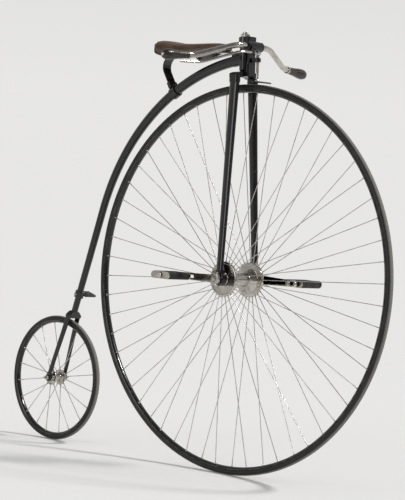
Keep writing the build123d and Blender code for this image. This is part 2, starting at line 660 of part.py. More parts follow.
def neck():
    """The pillar that turns in the head, with the socket of the tube and the spring's pad."""
    body = NECK_LENGTH - 2 * NECK_CONE
    pillar = Pos(0, 0, NECK_S) * neck_cone(0.0)
    pillar += post(NECK_D, NECK_S + NECK_CONE, NECK_S + NECK_CONE + body)
    pillar += Pos(0, 0, NECK_TOP_S) * Rot(180, 0, 0) * neck_cone(0.0)
    start = Vector(START[0], 0, START[1])
    forward = Vector(math.sin(START_TURN), 0, -math.cos(START_TURN))
    socket = rod(start, start + forward * NECK_SOCKET_LONG, NECK_SOCKET_D)
    pad = Pos(start.X, 0, NECK_SOCKET_UP) * Box(
        NECK_SOCKET_LONG, SPRING_PAD_WIDTH, SPRING_SEAT_RISE,
        align=(Align.MIN, Align.CENTER, Align.MIN),
    )
    behind = rod(start - forward * NECK_SOCKET_LONG, start, 2 * NECK_SOCKET_D)
    return STEER * pillar + (socket + pad - behind)


def rear_fork():
    """A crown under the backbone and two blades down to the axle's eyes, as one forging."""
    half_y = REAR_FORK_TOP_Y + REAR_BLADE_TOP[1] / 2
    shoulder = REAR_CROWN_LOW + REAR_CROWN_EDGE
    collar_d = BACKBONE_END_D + 2 * REAR_COLLAR_WALL
    arch = Polygon(
        (-half_y, REAR_CROWN_LOW), (half_y, REAR_CROWN_LOW), (half_y, shoulder),
        (collar_d / 2, REAR_CROWN_AT), (-collar_d / 2, REAR_CROWN_AT), (-half_y, shoulder),
        align=None,
    )
    whole = extrude(Plane.YZ * arch, REAR_CROWN_LONG / 2, both=True)
    whole = chamfer(whole.edges().filter_by(Axis.Y).group_by(Axis.Z)[-1], REAR_CROWN_CHAMFER)
    for side in (-1, 1):
        top = Pos(0, side * REAR_FORK_TOP_Y, REAR_CROWN_LOW) * oval(REAR_BLADE_TOP)
        foot = Pos(0, side * REAR_FORK_FOOT_Y, REAR_FOOT_UP) * oval(REAR_BLADE_FOOT)
        whole += loft([foot.face(), top.face()])
        low, high = sorted((side * REAR_EYE_IN, side * REAR_EYE_OUT))
        neck_up = Pos(0, REAR_FOOT_UP / 2) * Rectangle(REAR_BLADE_FOOT[0], REAR_FOOT_UP)
        eye = Circle(REAR_EYE_D / 2) + neck_up - Circle(REAR_AXLE_D / 2 + SEATED)
        whole += slab(eye, low, high)
    return REAR_FRAME * whole


def rear_axle():
    """The rear axle, held in both eyes of the fork, with a plain stub beyond each nut."""
    half = REAR_AXLE_HALF + REAR_STUB_LONG
    axle = across(REAR_AXLE_D, -REAR_AXLE_HALF, REAR_AXLE_HALF) + across(REAR_STUB_D, -half, half)
    return REAR_FRAME * axle


def rear_nut(side):
    """A nut outside an eye of the rear fork."""
    outline = polygon(REAR_NUT_AF, 6) - Circle(REAR_AXLE_D / 2 + SEATED)
    nut = slab(outline, REAR_EYE_OUT, REAR_EYE_OUT + REAR_NUT_THICK)
    return REAR_FRAME * (nut if side > 0 else mirror(nut, Plane.XZ))


def step():
    """The mounting step: a ring round the tube and a plate on the left."""
    along = TUBE_LENGTH + REAR_CROWN_AT - STEP_AT - STEP_RING_HEIGHT / 2
    bore = tube_d(along) / 2 + SEATED
    wall = bore + STEP_RING_WALL
    ring = Pos(0, 0, STEP_AT) * Cylinder(wall, STEP_RING_HEIGHT)
    plate = Pos(0, bore, STEP_AT) * Box(
        STEP_LONG, STEP_OUT, STEP_THICK, align=(Align.CENTER, Align.MIN, Align.CENTER)
    )
    whole = ring + plate
    whole -= Pos(0, 0, STEP_AT) * Cylinder(bore, 2 * STEP_RING_HEIGHT)
    return REAR_FRAME * whole


# Saddle
def clip_plane():
    """The spring clip's place: its middle on the tube, its X away from the wheel."""
    turn = math.radians(CLIP_TURN)
    # the tube is straight under the clip, so the clip lies on the chord and not on the arc
    chord_r = ARC_R * math.cos(math.radians(CLIP_SPAN / 2))
    out = Vector(math.cos(turn), 0, math.sin(turn))
    middle = Vector(ARC_MIDDLE[0], 0, ARC_MIDDLE[1]) + out * chord_r
    return Plane(origin=middle, x_dir=out, z_dir=(math.sin(turn), 0, -math.cos(turn)))


def saddle_spring():
    """A leaf from the pad on the neck to a curled tail that stands on the clip's lug."""
    clip = clip_plane()
    back, rise = SPRING_BACK
    points = [
        (-SPRING_NOSE, 0, SPRING_SEAT_UP + SPRING_THICK / 2), (-back, 0, SPRING_SEAT_UP + rise),
        clip.origin + clip.x_dir * (CLIP_LUG + SPRING_TAIL),
        clip.origin + clip.x_dir * (CLIP_LUG + SEAT_GAP),
    ]
    path = FilletPolyline(*points, radius=SPRING_BEND)
    start = Plane(origin=path @ 0, x_dir=(0, 1, 0), z_dir=path % 0)
    return sweep(start * Rectangle(SPRING_WIDTH, SPRING_THICK), path)


def spring_clip():
    """A ring round the backbone with a lug that the spring's tail stands on."""
    along = (math.radians(CLIP_TURN) - START_TURN) * ARC_R
    bore = tube_d(along - CLIP_HEIGHT / 2) / 2 + SEATED
    lug = Pos(bore, 0, 0) * Box(
        CLIP_LUG - bore, SPRING_WIDTH, CLIP_LUG_HEIGHT,
        align=(Align.MIN, Align.CENTER, Align.CENTER),
    )
    ring = Cylinder(bore + CLIP_WALL, CLIP_HEIGHT)
    return clip_plane().location * (ring + lug - Cylinder(bore, 2 * CLIP_HEIGHT))


def leather_section(back, width, below, depth, inset, extra):
    """One arch of the saddle, in the plane across the bicycle: upright sides and a round top."""
    top = SEAT_UP - below - inset
    half = width / 2 - inset
    low = SEAT_UP - below - depth - extra
    rise = depth * (1 - LEATHER_SIDE) - inset
    radius = (half**2 + rise**2) / (2 * rise)
    widest = math.atan2(half, radius - rise)
    turns = [widest * (1 - 2 * step / LEATHER_FLATS) for step in range(LEATHER_FLATS + 1)]
    arch = [(radius * math.sin(turn), top - radius + radius * math.cos(turn)) for turn in turns]
    return Plane.YZ.offset(-back) * Polygon(*arch, (-half, low), (half, low), align=None)


def saddle_arch(inset, extra):
    """The saddle's whole form, solid, drawn inwards by an inset."""
    sections = [leather_section(*row, inset, extra).face() for row in LEATHER_SECTIONS]
    return loft(sections, ruled=True)


def saddle_leather():
    """An arched leather seat, hollow underneath, narrow at the nose and broad at the back."""
    return saddle_arch(0.0, 0.0) - saddle_arch(LEATHER_THICK, LEATHER_THICK)


def spring_top(back):
    """The height of the spring's upper face between its seat and its first corner."""
    low = SPRING_THICK / 2
    share = (back - SPRING_NOSE) / (SPRING_BACK[0] - SPRING_NOSE)
    return SPRING_SEAT_UP + low + share * (SPRING_BACK[1] - low) + SPRING_THICK / 2


def saddle_frame():
    """A steel strap between a nose plate and a cantle plate, on two bolts over the spring."""
    low = SPRING_SEAT_UP + FRAME_UP
    high = SEAT_UP + LEATHER_THICK
    nose = LEATHER_SECTIONS[0][0] + FRAME_END_ROOM
    tail = LEATHER_SECTIONS[-1][0] - FRAME_END_ROOM
    under = LEATHER_THICK + SEAT_GAP
    skin = saddle_arch(under, 0.0) - saddle_arch(under + CANTLE_THICK, LEATHER_THICK)
    inside = saddle_arch(under, 0.0)
    frame = Part()
    for front, back in ((nose, nose + NOSE_LONG), (tail - CANTLE_LONG, tail)):
        middle, long = -(front + back) / 2, back - front
        frame += skin & Pos(middle, 0, low) * Box(
            long, FRONT_R, high, align=(Align.CENTER, Align.CENTER, Align.MIN)
        )
        frame += inside & Pos(middle, 0, low) * Box(
            long, FRAME_WIDTH, high, align=(Align.CENTER, Align.CENTER, Align.MIN)
        )
    frame += inside & Pos(-(nose + tail) / 2, 0, low) * Box(
        tail - nose, FRAME_WIDTH, FRAME_THICK, align=(Align.CENTER, Align.CENTER, Align.MIN)
    )
    for back in FRAME_BOLT_BACKS:
        foot = spring_top(back) + SEAT_GAP
        frame += post(FRAME_BOLT_D, foot, low + FRAME_BOLT_SUNK, -back)
    return frame


def front_axle():
    """The axle, held in the hub and both cranks and running in the bearing cases."""
    return across(AXLE_D, -CRANK_OUT - AXLE_PROUD, CRANK_OUT + AXLE_PROUD)


def rear_wheel_piece(shape):
    """A piece of the rear wheel, moved from the front axle to the rear one."""
    return Pos(REAR_AXLE.X, 0, REAR_AXLE.Z) * shape


def pieces():
    """Every piece by its name."""
    made = {
        "front_tyre": tyre(FRONT_WHEEL_D, FRONT_TYRE_D),
        "front_rim": rim(FRONT_WHEEL_D, FRONT_TYRE_D),
        "front_hub": front_hub(),
        "front_axle": front_axle(),
        "rear_tyre": rear_wheel_piece(tyre(REAR_WHEEL_D, REAR_TYRE_D)),
        "rear_rim": rear_wheel_piece(rim(REAR_WHEEL_D, REAR_TYRE_D)),
        "rear_hub": rear_wheel_piece(rear_hub()),
        "rear_axle": rear_axle(),
        "rear_fork": rear_fork(),
        "backbone": backbone(),
        "neck": neck(),
        "mounting_step": step(),
        "saddle_spring": saddle_spring(),
        "spring_clip": spring_clip(),
        "saddle_frame": saddle_frame(),
        "saddle_leather": saddle_leather(),
        "fork_head": fork_head(),
        "head_bolt": head_bolt(),
        "handlebar": handlebar(),
        "brake_lever": brake_lever(),
        "brake_spoon": brake_spoon(),
    }
    for name, side in SIDES:
        made["fork_blade_" + name] = fork_blade(side)
        made["bearing_case_" + name] = bearing(side)
        made["grip_" + name] = grip(side)
        made["crank_" + name] = crank(side)
        made["pedal_pin_" + name] = pedal_pin(side)
        made["pedal_cage_" + name] = pedal_cage(side)
        made["pedal_rubbers_" + name] = pedal_rubbers(side)
        made["rear_nut_" + name] = rear_nut(side)
    return made


os.makedirs("parts", exist_ok=True)
for node, shape in pieces().items():
    export_step(HOME * shape, f"parts/{node}.step")
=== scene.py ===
import math

import bmesh
import bpy
import numpy as np
from mathutils import Matrix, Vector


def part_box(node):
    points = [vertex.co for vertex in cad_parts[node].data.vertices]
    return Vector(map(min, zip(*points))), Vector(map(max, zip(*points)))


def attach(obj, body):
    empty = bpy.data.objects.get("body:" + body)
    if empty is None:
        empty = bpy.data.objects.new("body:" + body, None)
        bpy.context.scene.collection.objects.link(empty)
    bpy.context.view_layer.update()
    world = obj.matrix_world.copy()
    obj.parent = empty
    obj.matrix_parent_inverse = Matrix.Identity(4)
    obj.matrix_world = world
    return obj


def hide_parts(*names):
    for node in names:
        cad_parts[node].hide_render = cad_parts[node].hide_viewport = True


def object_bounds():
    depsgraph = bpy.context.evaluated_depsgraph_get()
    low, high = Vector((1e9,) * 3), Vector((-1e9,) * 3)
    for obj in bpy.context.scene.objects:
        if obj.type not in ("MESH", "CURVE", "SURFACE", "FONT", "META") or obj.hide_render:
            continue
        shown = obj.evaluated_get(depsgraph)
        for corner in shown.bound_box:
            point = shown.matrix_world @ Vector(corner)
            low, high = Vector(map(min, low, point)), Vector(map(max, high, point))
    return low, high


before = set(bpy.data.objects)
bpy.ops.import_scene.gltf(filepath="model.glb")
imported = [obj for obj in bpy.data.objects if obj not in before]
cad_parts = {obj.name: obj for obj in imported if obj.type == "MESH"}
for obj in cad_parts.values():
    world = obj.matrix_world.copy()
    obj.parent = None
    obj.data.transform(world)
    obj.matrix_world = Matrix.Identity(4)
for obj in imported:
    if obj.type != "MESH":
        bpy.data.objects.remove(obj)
cad_low, cad_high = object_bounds()


# The camera stands where the photograph was taken, 1.4 m up and 43 degrees round to the right
# of the front wheel, with a longer lens. There the bicycle leans away from it. Here it stands
# upright, so the camera is turned by that lean about the line on the ground under the wheels.
def wheel_place(wheel):
    """A wheel's axle and its radius over the tyre, from the tyre's box."""
    low, high = (np.array(corner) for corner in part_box(wheel + "_tyre"))
    return (low + high) / 2, (high[2] - low[2]) / 2


front_axle, front_radius = wheel_place("front")
ground = cad_low[2]
VIEW_TURN = math.radians(42.9)
VIEW_DISTANCE = 6.34
EYE_HEIGHT = 1.40
LEAN = math.radians(6.0)
FRAME_HEIGHT = 1.72
LOOK_BEHIND_AXLE = 0.17
beside = -VIEW_DISTANCE * math.cos(VIEW_TURN)
street_up = np.array([0.0, -math.sin(LEAN), math.cos(LEAN)])
eye = np.array([
    front_axle[0] + VIEW_DISTANCE * math.sin(VIEW_TURN),
    beside * math.cos(LEAN) - EYE_HEIGHT * math.sin(LEAN),
    ground + beside * math.sin(LEAN) + EYE_HEIGHT * math.cos(LEAN),
])
look_at = np.array([front_axle[0] - LOOK_BEHIND_AXLE, 0.0, (cad_low[2] + cad_high[2]) / 2])


def unit(ways):
    """Ways with their length made one."""
    return ways / np.linalg.norm(ways, axis=-1, keepdims=True)


def turned_to(way, up=(0, 0, 1)):
    """The turn of a lamp or camera, which looks down its own -Z with its Y up: -Z goes along
    the way, X is level with up, and Y is square to both."""
    back = -unit(np.array(way))
    right = unit(np.cross(up, back))
    return Matrix(np.stack([right, np.cross(back, right), back], -1).tolist()).to_euler()


camera = bpy.data.cameras.new("camera")
camera.sensor_width = 36.0
camera.lens = camera.sensor_width * np.linalg.norm(look_at - eye) / FRAME_HEIGHT
camera_object = bpy.data.objects.new("camera", camera)
bpy.context.scene.collection.objects.link(camera_object)
camera_object.location = eye
camera_object.rotation_euler = turned_to(look_at - eye, street_up)
bpy.context.scene.camera = camera_object
bpy.context.scene.view_settings.view_transform = "Standard"


# The floor is pale studio paper that fades into the backdrop, so that no edge of it shows. It
# takes the bicycle's shadows and throws a little light back up.
def wire(tree, node, inputs):
    """Sets a node's inputs, by name or number, each to a value or to another node's output."""
    for socket, value in inputs.items():
        if isinstance(value, bpy.types.NodeSocket):
            tree.links.new(value, node.inputs[socket])
        else:
            node.inputs[socket].default_value = value


def add_node(tree, kind, output, inputs=None, **settings):
    """One output of a new shader node with these settings and inputs."""
    node = tree.nodes.new("ShaderNode" + kind)
    for name, value in settings.items():
        setattr(node, name, value)
    wire(tree, node, inputs or {})
    return node.outputs[output]


def new_finish(name):
    """A new material, its node tree and its one glossy shader."""
    material = bpy.data.materials.new(name)
    material.use_nodes = True
    return material, material.node_tree, material.node_tree.nodes["Principled BSDF"]


def full_turn(steps):
    """The turns of equal steps all the way round."""
    return np.linspace(0, 2 * np.pi, steps, endpoint=False)


FLOOR_RADIUS = 40.0
FLOOR_CORNERS = 128
FLOOR_COLOUR = (0.78, 0.775, 0.76, 1)
FADE_FROM, FADE_TO = 2.5, 9.0
turn = full_turn(FLOOR_CORNERS)
floor_edge = np.stack([
    front_axle[0] + FLOOR_RADIUS * np.cos(turn), FLOOR_RADIUS * np.sin(turn),
    np.full(FLOOR_CORNERS, ground),
], -1)
floor_mesh = bpy.data.meshes.new("floor")
floor_mesh.from_pydata(floor_edge.tolist(), [], [list(range(FLOOR_CORNERS))])
floor = bpy.data.objects.new("floor", floor_mesh)
bpy.context.scene.collection.objects.link(floor)
floor_paper, tree, paper = new_finish("floor_paper")
wire(tree, paper, {"Base Color": FLOOR_COLOUR, "Roughness": 0.95, "Specular IOR Level": 0.1})
place = add_node(tree, "TexCoord", "Object")
away = add_node(
    tree, "VectorMath", "Value", {0: place, 1: (front_axle[0], 0, ground)}, operation="DISTANCE",
)
fade = add_node(
    tree, "MapRange", "Result", {"Value": away, "From Min": FADE_FROM, "From Max": FADE_TO},
    interpolation_type="SMOOTHSTEP",
)
gone = add_node(tree, "BsdfTransparent", "BSDF")
faded = add_node(tree, "MixShader", "Shader", {"Fac": fade, 1: paper.outputs["BSDF"], 2: gone})
wire(tree, tree.nodes["Material Output"], {"Surface": faded})
floor_mesh.materials.append(floor_paper)

# The backdrop is pale at the ground and greyer above. The world lights the bicycle evenly, and
# in gloss the room is pale behind the bicycle and dimmer behind the camera, as a studio is.
SKY_LOW, SKY_HIGH = (0.80, 0.795, 0.78, 1), (0.30, 0.31, 0.33, 1)
SKY_FROM, SKY_TO = 0.06, 0.75
WORLD_FILL = {"Color": (0.97, 0.98, 1.0, 1), "Strength": 0.55}
ROOM_DIM = 0.30
ROOM_FROM, ROOM_TO = -0.7, 0.5
world = bpy.data.worlds.new("studio")
bpy.context.scene.world = world
world.use_nodes = True
tree = world.node_tree
tree.nodes.clear()
direction = add_node(tree, "TexCoord", "Generated")
height = add_node(tree, "SeparateXYZ", "Z", {"Vector": direction})
rise = add_node(
    tree, "MapRange", "Result", {"Value": height, "From Min": SKY_FROM, "From Max": SKY_TO},
)
sky = add_node(
    tree, "Mix", "Result", {"Factor": rise, "A": SKY_LOW, "B": SKY_HIGH}, data_type="RGBA",
)
ahead = (-math.sin(VIEW_TURN), math.cos(VIEW_TURN), 0)
facing = add_node(tree, "VectorMath", "Value", {0: direction, 1: ahead}, operation="DOT_PRODUCT")
room_light = add_node(
    tree, "MapRange", "Result",
    {"Value": facing, "From Min": ROOM_FROM, "From Max": ROOM_TO, "To Min": ROOM_DIM},
)
backdrop, fill, room = (
    add_node(tree, "Background", "Background", inputs)
    for inputs in ({"Color": sky}, WORLD_FILL, {"Color": sky, "Strength": room_light})
)
glossy = add_node(tree, "LightPath", "Is Glossy Ray")
lit = add_node(tree, "MixShader", "Shader", {"Fac": glossy, 1: fill, 2: room})
direct = add_node(tree, "LightPath", "Is Camera Ray")
seen = add_node(tree, "MixShader", "Shader", {"Fac": direct, 1: lit, 2: backdrop})
wire(tree, tree.nodes.new("ShaderNodeOutputWorld"), {"Surface": seen})

# The lamps: the key is as high and as far to the camera's right as the sun in the photograph,
# and a weaker, much broader one fills the side towards the camera.
KEY_HEIGHT = math.radians(46)
to_right = np.array([math.cos(VIEW_TURN), math.sin(VIEW_TURN), 0.0])
key_way = -(to_right * math.cos(KEY_HEIGHT) + np.array([0.0, 0.0, math.sin(KEY_HEIGHT)]))
for name, strength, spread, colour, way in (
    ("key", 1.9, math.radians(9), (1.0, 0.985, 0.96), key_way),
    ("near_fill", 0.75, math.radians(32), (1.0, 1.0, 1.0), (0.10, 1.0, -0.34)),
):
    lamp = bpy.data.lights.new(name, "SUN")
    lamp.energy = strength
    lamp.angle = spread
    lamp.color = colour
    lamp_object = bpy.data.objects.new(name, lamp)
    bpy.context.scene.collection.objects.link(lamp_object)
    lamp_object.rotation_euler = turned_to(way)

# The tyres are solid rings of round black rubber, cemented in their rims. The tread is worn
# grey and dusty where it meets the road, and the mould has left a faint seam on each flank.
SMOOTH_UNDER = math.radians(38)
MEET = 2e-6  # points nearer than this are one
NO_LENGTH = 1e-7
WHEEL_STEPS = 360
TYRE_SIDES = 40
SEAM_HEIGHT = 0.0003
SEAM_SPAN = 0.05


def make_piece(name, grids, body, finish, node=None, rows_closed=False,
               columns_closed=True, mark=None):
    """One mesh of equal grids of points, stacked as copies, rows, columns and x y z. A face
    joins each point to the next along both ways, round to the first where a way is closed.
    Points that meet, as at a pole, become one, and a shell whose volume comes out negative is
    turned the right way out. A mark is a number kept on each point, for the finish to read."""
    grids = np.asarray(grids, float)
    grids = grids.reshape(-1, *grids.shape[-3:])
    copies, rows, columns = grids.shape[:3]
    number = np.arange(rows * columns).reshape(rows, columns)
    if rows_closed:
        number = np.vstack([number, number[:1]])
    if columns_closed:
        number = np.hstack([number, number[:, :1]])
    faces = np.stack([number[:-1, :-1], number[:-1, 1:], number[1:, 1:], number[1:, :-1]], -1)
    faces = faces.reshape(-1, 4)
    corner = grids[0].reshape(-1, 3)[faces] - grids[0].reshape(-1, 3).mean(0)
    halves = np.cross(corner[:, 1], corner[:, 2]) + np.cross(corner[:, 2], corner[:, 3])
    if (corner[:, 0] * halves).sum() < 0:
        faces = faces[:, ::-1]
    faces = (faces + rows * columns * np.arange(copies)[:, None, None]).reshape(-1, 4)
    mesh = bpy.data.meshes.new(name)
    mesh.from_pydata(grids.reshape(-1, 3).tolist(), [], faces.tolist())
    if mark is not None:
        mesh.attributes.new("mark", "FLOAT", "POINT").data.foreach_set("value", np.ravel(mark))
    work = bmesh.new()
    work.from_mesh(mesh)
    bmesh.ops.remove_doubles(work, verts=work.verts, dist=MEET)
    bmesh.ops.dissolve_degenerate(work, edges=work.edges, dist=NO_LENGTH)
    work.to_mesh(mesh)
    work.free()
    mesh.polygons.foreach_set("use_smooth", np.ones(len(mesh.polygons), bool))
    mesh.set_sharp_from_angle(angle=SMOOTH_UNDER)
    return placed(bpy.data.objects.new(name, mesh), body, finish, node)


def placed(piece, body, finish, node=None):
    """A piece in the scene, with its body, the CAD node that it stands for and its
    material."""
    bpy.context.scene.collection.objects.link(piece)
    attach(piece, body)
    if node:
        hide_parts(node)
    piece.data.materials.append(finish)
    return piece


def ring_piece(name, profile, axle, steps, body, finish, node):
    """A closed profile of (across, radius) carried round an axle that lies along Y: x and z
    are the radius times the sine and cosine of the turn, and y is the distance across."""
    across, radius = np.asarray(profile, float).T
    turn = full_turn(steps)[:, None]
    grid = np.stack([
        axle[0] + np.sin(turn) * radius, axle[1] + across + 0 * turn,
        axle[2] + np.cos(turn) * radius,
    ], -1)
    return make_piece(name, grid, body, finish, node, rows_closed=True)


def cloud(tree, scale, detail, stretch=(1, 1, 1)):
    """Noise fixed to the object, around one half, with its scale in turns for each metre."""
    place = add_node(tree, "TexCoord", "Object")
    place = add_node(tree, "Mapping", "Vector", {"Vector": place, "Scale": stretch})
    return add_node(tree, "TexNoise", "Fac", {"Vector": place, "Scale": scale, "Detail": detail})


def between(tree, value, start, end, low=0.0, high=1.0):
    """A value from start to end stretched to low to high, and held outside them."""
    return add_node(tree, "MapRange", "Result", {
        "Value": value, "From Min": start, "From Max": end, "To Min": low, "To Max": high,
    })


def patches(tree, scale, detail, *span, stretch=(1, 1, 1)):
    """A cloud with its span stretched by between, which leaves soft or hard edged patches."""
    return between(tree, cloud(tree, scale, detail, stretch), *span)


def radius_from(tree, axle):
    """The distance of a point from a wheel's axle, in metres."""
    place = add_node(tree, "TexCoord", "Object")
    place = add_node(tree, "Mapping", "Vector", {
        "Vector": place, "Location": (-axle[0], 0, -axle[2]), "Scale": (1, 0, 1),
    })
    return add_node(tree, "VectorMath", "Value", {0: place}, operation="LENGTH")


def multiplied(tree, first, second):
    """Two values multiplied, so that a mark shows only where both are high."""
    return add_node(tree, "Math", "Value", {0: first, 1: second}, operation="MULTIPLY")


def blended(tree, amount, first, second):
    """From the first colour to the second. Each is three numbers or another blend."""
    first, second = (
        (*colour, 1) if isinstance(colour, tuple) else colour for colour in (first, second)
    )
    inputs = {"Factor": amount, "A": first, "B": second}
    return add_node(tree, "Mix", "Result", inputs, data_type="RGBA")


def relief(tree, shader, *layers):
    """Bumps on the surface, each a value and its depth in metres, one over the other."""
    below = {}
    for value, depth in layers:
        inputs = {"Distance": depth, "Height": value, **below}
        below = {"Normal": add_node(tree, "Bump", "Normal", inputs)}
    wire(tree, shader, below)


def tyre_rubber(name, axle, radius):
    """Black rubber, browner and dusty in clouds. The tread, in the last 5 mm of the radius, is
    worn to a dusty grey with fine scuffs."""
    material, tree, shader = new_finish(name)
    tread = between(tree, radius_from(tree, axle), radius - 0.005, radius - 0.0008)
    scuffs = patches(tree, 520.0, 7.0, 0.34, 0.64, 0.45, 1.0)
    dust = patches(tree, 18.0, 6.0, 0.44, 0.80)
    black = blended(tree, dust, (0.012, 0.011, 0.011), (0.025, 0.023, 0.021))
    worn = multiplied(tree, tread, scuffs)
    wire(tree, shader, {
        "Base Color": blended(tree, worn, black, (0.250, 0.240, 0.218)),
        "Roughness": between(tree, tread, 0.0, 1.0, 0.42, 0.8), "Specular IOR Level": 0.3,
    })
    nicks = patches(tree, 130.0, 3.0, 0.62, 0.70)
    relief(tree, shader, (cloud(tree, 1400.0, 2.0), 0.00012), (nicks, -0.0006))
    return material


rear_axle, rear_radius = wheel_place("rear")
# body, axle, radius over the tyre, the tyre's thickness and the number of spokes
wheels = {
    "front": ("front_wheel", front_axle, front_radius, 0.0250, 56),
    "rear": ("rear_wheel", rear_axle, rear_radius, 0.0220, 20),
}
for wheel, (body, axle, radius, thick, _) in wheels.items():
    turn = full_turn(TYRE_SIDES)
    seam = np.exp(-((np.abs(np.sin(turn)) - 1) / SEAM_SPAN) ** 2)
    section = thick / 2 + SEAM_HEIGHT * seam
    profile = np.stack([section * np.sin(turn), radius - thick / 2 + section * np.cos(turn)], -1)
    ring_piece(
        wheel + "_tyre_rubber", profile, axle, WHEEL_STEPS, body,
        tyre_rubber(wheel + "_rubber", axle, radius), wheel + "_tyre",
    )


# The rims are rolled steel of a crescent section, with the tyre's round bed outside and a
# rounded back towards the hub. They are black enamel, rubbed thin along the two lips.
def black_enamel(name, rubbed=None):
    """Stoved black enamel: deep and glossy, with a brown haze, fine dust and a few chips.
    Rubbed, if given, is an axle and two radii between which it wears off more and more."""
    material, tree, shader = new_finish(name)
    haze = patches(tree, 9.0, 4.0, 0.45, 0.8)
    colour = blended(tree, haze, (0.005, 0.005, 0.006), (0.013, 0.012, 0.011))
    chips = patches(tree, 95.0, 5.0, 0.69, 0.705)
    colour = blended(tree, chips, colour, (0.10, 0.075, 0.055))
    if rubbed:
        axle, start, end = rubbed
        worn = between(tree, radius_from(tree, axle), start, end)
        worn = multiplied(tree, worn, patches(tree, 40.0, 6.0, 0.42, 0.60))
        colour = blended(tree, worn, colour, (0.16, 0.145, 0.125))
    wire(tree, shader, {
        "Base Color": colour, "Roughness": patches(tree, 34.0, 4.0, 0.35, 0.7, 0.12, 0.30),
        "Specular IOR Level": 0.42, "Coat Weight": 0.30, "Coat Roughness": 0.05,
    })
    relief(tree, shader, (cloud(tree, 60.0, 1.0), 0.00010), (chips, -0.00008))
    return material


def rounded(corners, radii, steps=6):
    """A closed outline whose corners are arcs. Each arc starts and ends where a circle of that
    radius touches the two sides, and is drawn by turning from one side's normal to the
    other's about the circle's centre."""
    corners = np.asarray(corners, float)
    radii = np.broadcast_to(radii, len(corners))
    to_last = unit(np.roll(corners, 1, 0) - corners)
    to_next = unit(np.roll(corners, -1, 0) - corners)
    half = np.arccos(np.clip((to_last * to_next).sum(1), -1, 1)) / 2
    centre = corners + unit(to_last + to_next) * (radii / np.sin(half))[:, None]
    first = corners + to_last * (radii / np.tan(half))[:, None] - centre
    last = corners + to_next * (radii / np.tan(half))[:, None] - centre
    share = np.linspace(0, 1, steps)[None, :, None]
    sweep = (np.pi - 2 * half)[:, None, None]
    arc = np.sin((1 - share) * sweep) * first[:, None] + np.sin(share * sweep) * last[:, None]
    return (centre[:, None] + arc / np.sin(sweep)).reshape(-1, 2)


RIM_BED_GAP = 0.0002
RIM_BED_SPAN = math.radians(54)
RIM_BACK = 0.0040
RIM_BACK_FULL = 0.8  # under one, so the back is fuller than a half circle
RIM_LIP = 0.0014
BED_POINTS, BACK_POINTS = 17, 21
LIP_RUBBED = 0.0022
rims_inside = {}
for wheel, (body, axle, radius, thick, _) in wheels.items():
    bed = thick / 2 + RIM_BED_GAP
    turn = np.linspace(-RIM_BED_SPAN, RIM_BED_SPAN, BED_POINTS)
    bed_line = np.stack([bed * np.sin(turn), -bed * np.cos(turn)], -1)
    lip = bed_line[-1]
    half_wide = lip[0] + RIM_LIP
    deep = bed + RIM_BACK
    turn = np.linspace(0, np.pi, BACK_POINTS)
    back_line = np.stack([
        half_wide * np.cos(turn), lip[1] - (deep + lip[1]) * np.sin(turn) ** RIM_BACK_FULL,
    ], -1)
    profile = np.vstack([bed_line, back_line])
    profile[:, 1] += radius - thick / 2
    rims_inside[wheel] = radius - thick / 2 - deep
    lip_at = radius - thick / 2 + lip[1]
    ring_piece(
        wheel + "_crescent_rim", profile, axle, WHEEL_STEPS, body,
        black_enamel(wheel + "_rim_enamel", (axle, lip_at - LIP_RUBBED, lip_at)),
        wheel + "_rim",
    )


# The hubs are turned gunmetal, nickel plated: two thick round flanges on a barrel that flares
# into them, bored for the axle. The rims of the flanges are rounded and their faces dished.
def nickel(name):
    """Old nickel plate: bright, with yellowish clouds of tarnish and fine polishing lines."""
    material, tree, shader = new_finish(name)
    tarnish = patches(tree, 26.0, 5.0, 0.44, 0.70)
    spots = patches(tree, 300.0, 3.0, 0.68, 0.74)
    colour = blended(tree, tarnish, (0.58, 0.555, 0.51), (0.37, 0.335, 0.28))
    wire(tree, shader, {
        "Base Color": blended(tree, spots, colour, (0.24, 0.21, 0.17)), "Metallic": 1.0,
        "Roughness": patches(tree, 48.0, 5.0, 0.35, 0.68, 0.06, 0.20),
    })
    relief(tree, shader, (cloud(tree, 900.0, 2.0), 0.00001), (spots, -0.00003))
    return material


HUB_STEPS = 96
DISH_DEEP = 0.0012
DISH_BORDER = 0.7  # of the flange's thickness
# half width, bore, flange radius, middle of the flange, its thickness, barrel, flare and boss
hub_sizes = {
    "front": (0.0740, 0.0091, 0.0590, 0.0660, 0.0110, 0.0220, 0.0170, 0.0220),
    "rear": (0.0310, 0.0051, 0.0270, 0.0220, 0.0060, 0.0125, 0.0070, 0.0125),
}
for wheel, (body, axle, *_) in wheels.items():
    half, bore, flange, middle, width, barrel, flare, boss = hub_sizes[wheel]
    inner, outer = middle - width / 2, middle + width / 2
    dish = flange - width * DISH_BORDER
    right = [
        (half, bore), (half, boss), (outer - DISH_DEEP, boss + DISH_DEEP),
        (outer - DISH_DEEP, dish), (outer, dish + DISH_DEEP), (outer, flange), (inner, flange),
        (inner, barrel + flare), (inner - flare, barrel),
    ]
    # the radius at each of those corners
    radii = [0.0003, 0.0012, 0.0004, 0.0004, 0.0004, width * 0.3, width * 0.3, flare * 0.35,
             flare * 0.9]
    left = [(-across, up) for across, up in reversed(right)]
    ring_piece(
        wheel + "_hub_spool", rounded(right + left, radii + radii[::-1]), axle, HUB_STEPS, body,
        nickel(wheel + "_hub_nickel"), wheel + "_hub",
    )


# The spokes are steel wire, screwed direct into the edges of the flanges and headed in the
# rim. Every second one comes from the other flange, and each is thicker near its two ends.
ASKEW = (0.31, 0.93, 0.17)  # no turned piece points this way


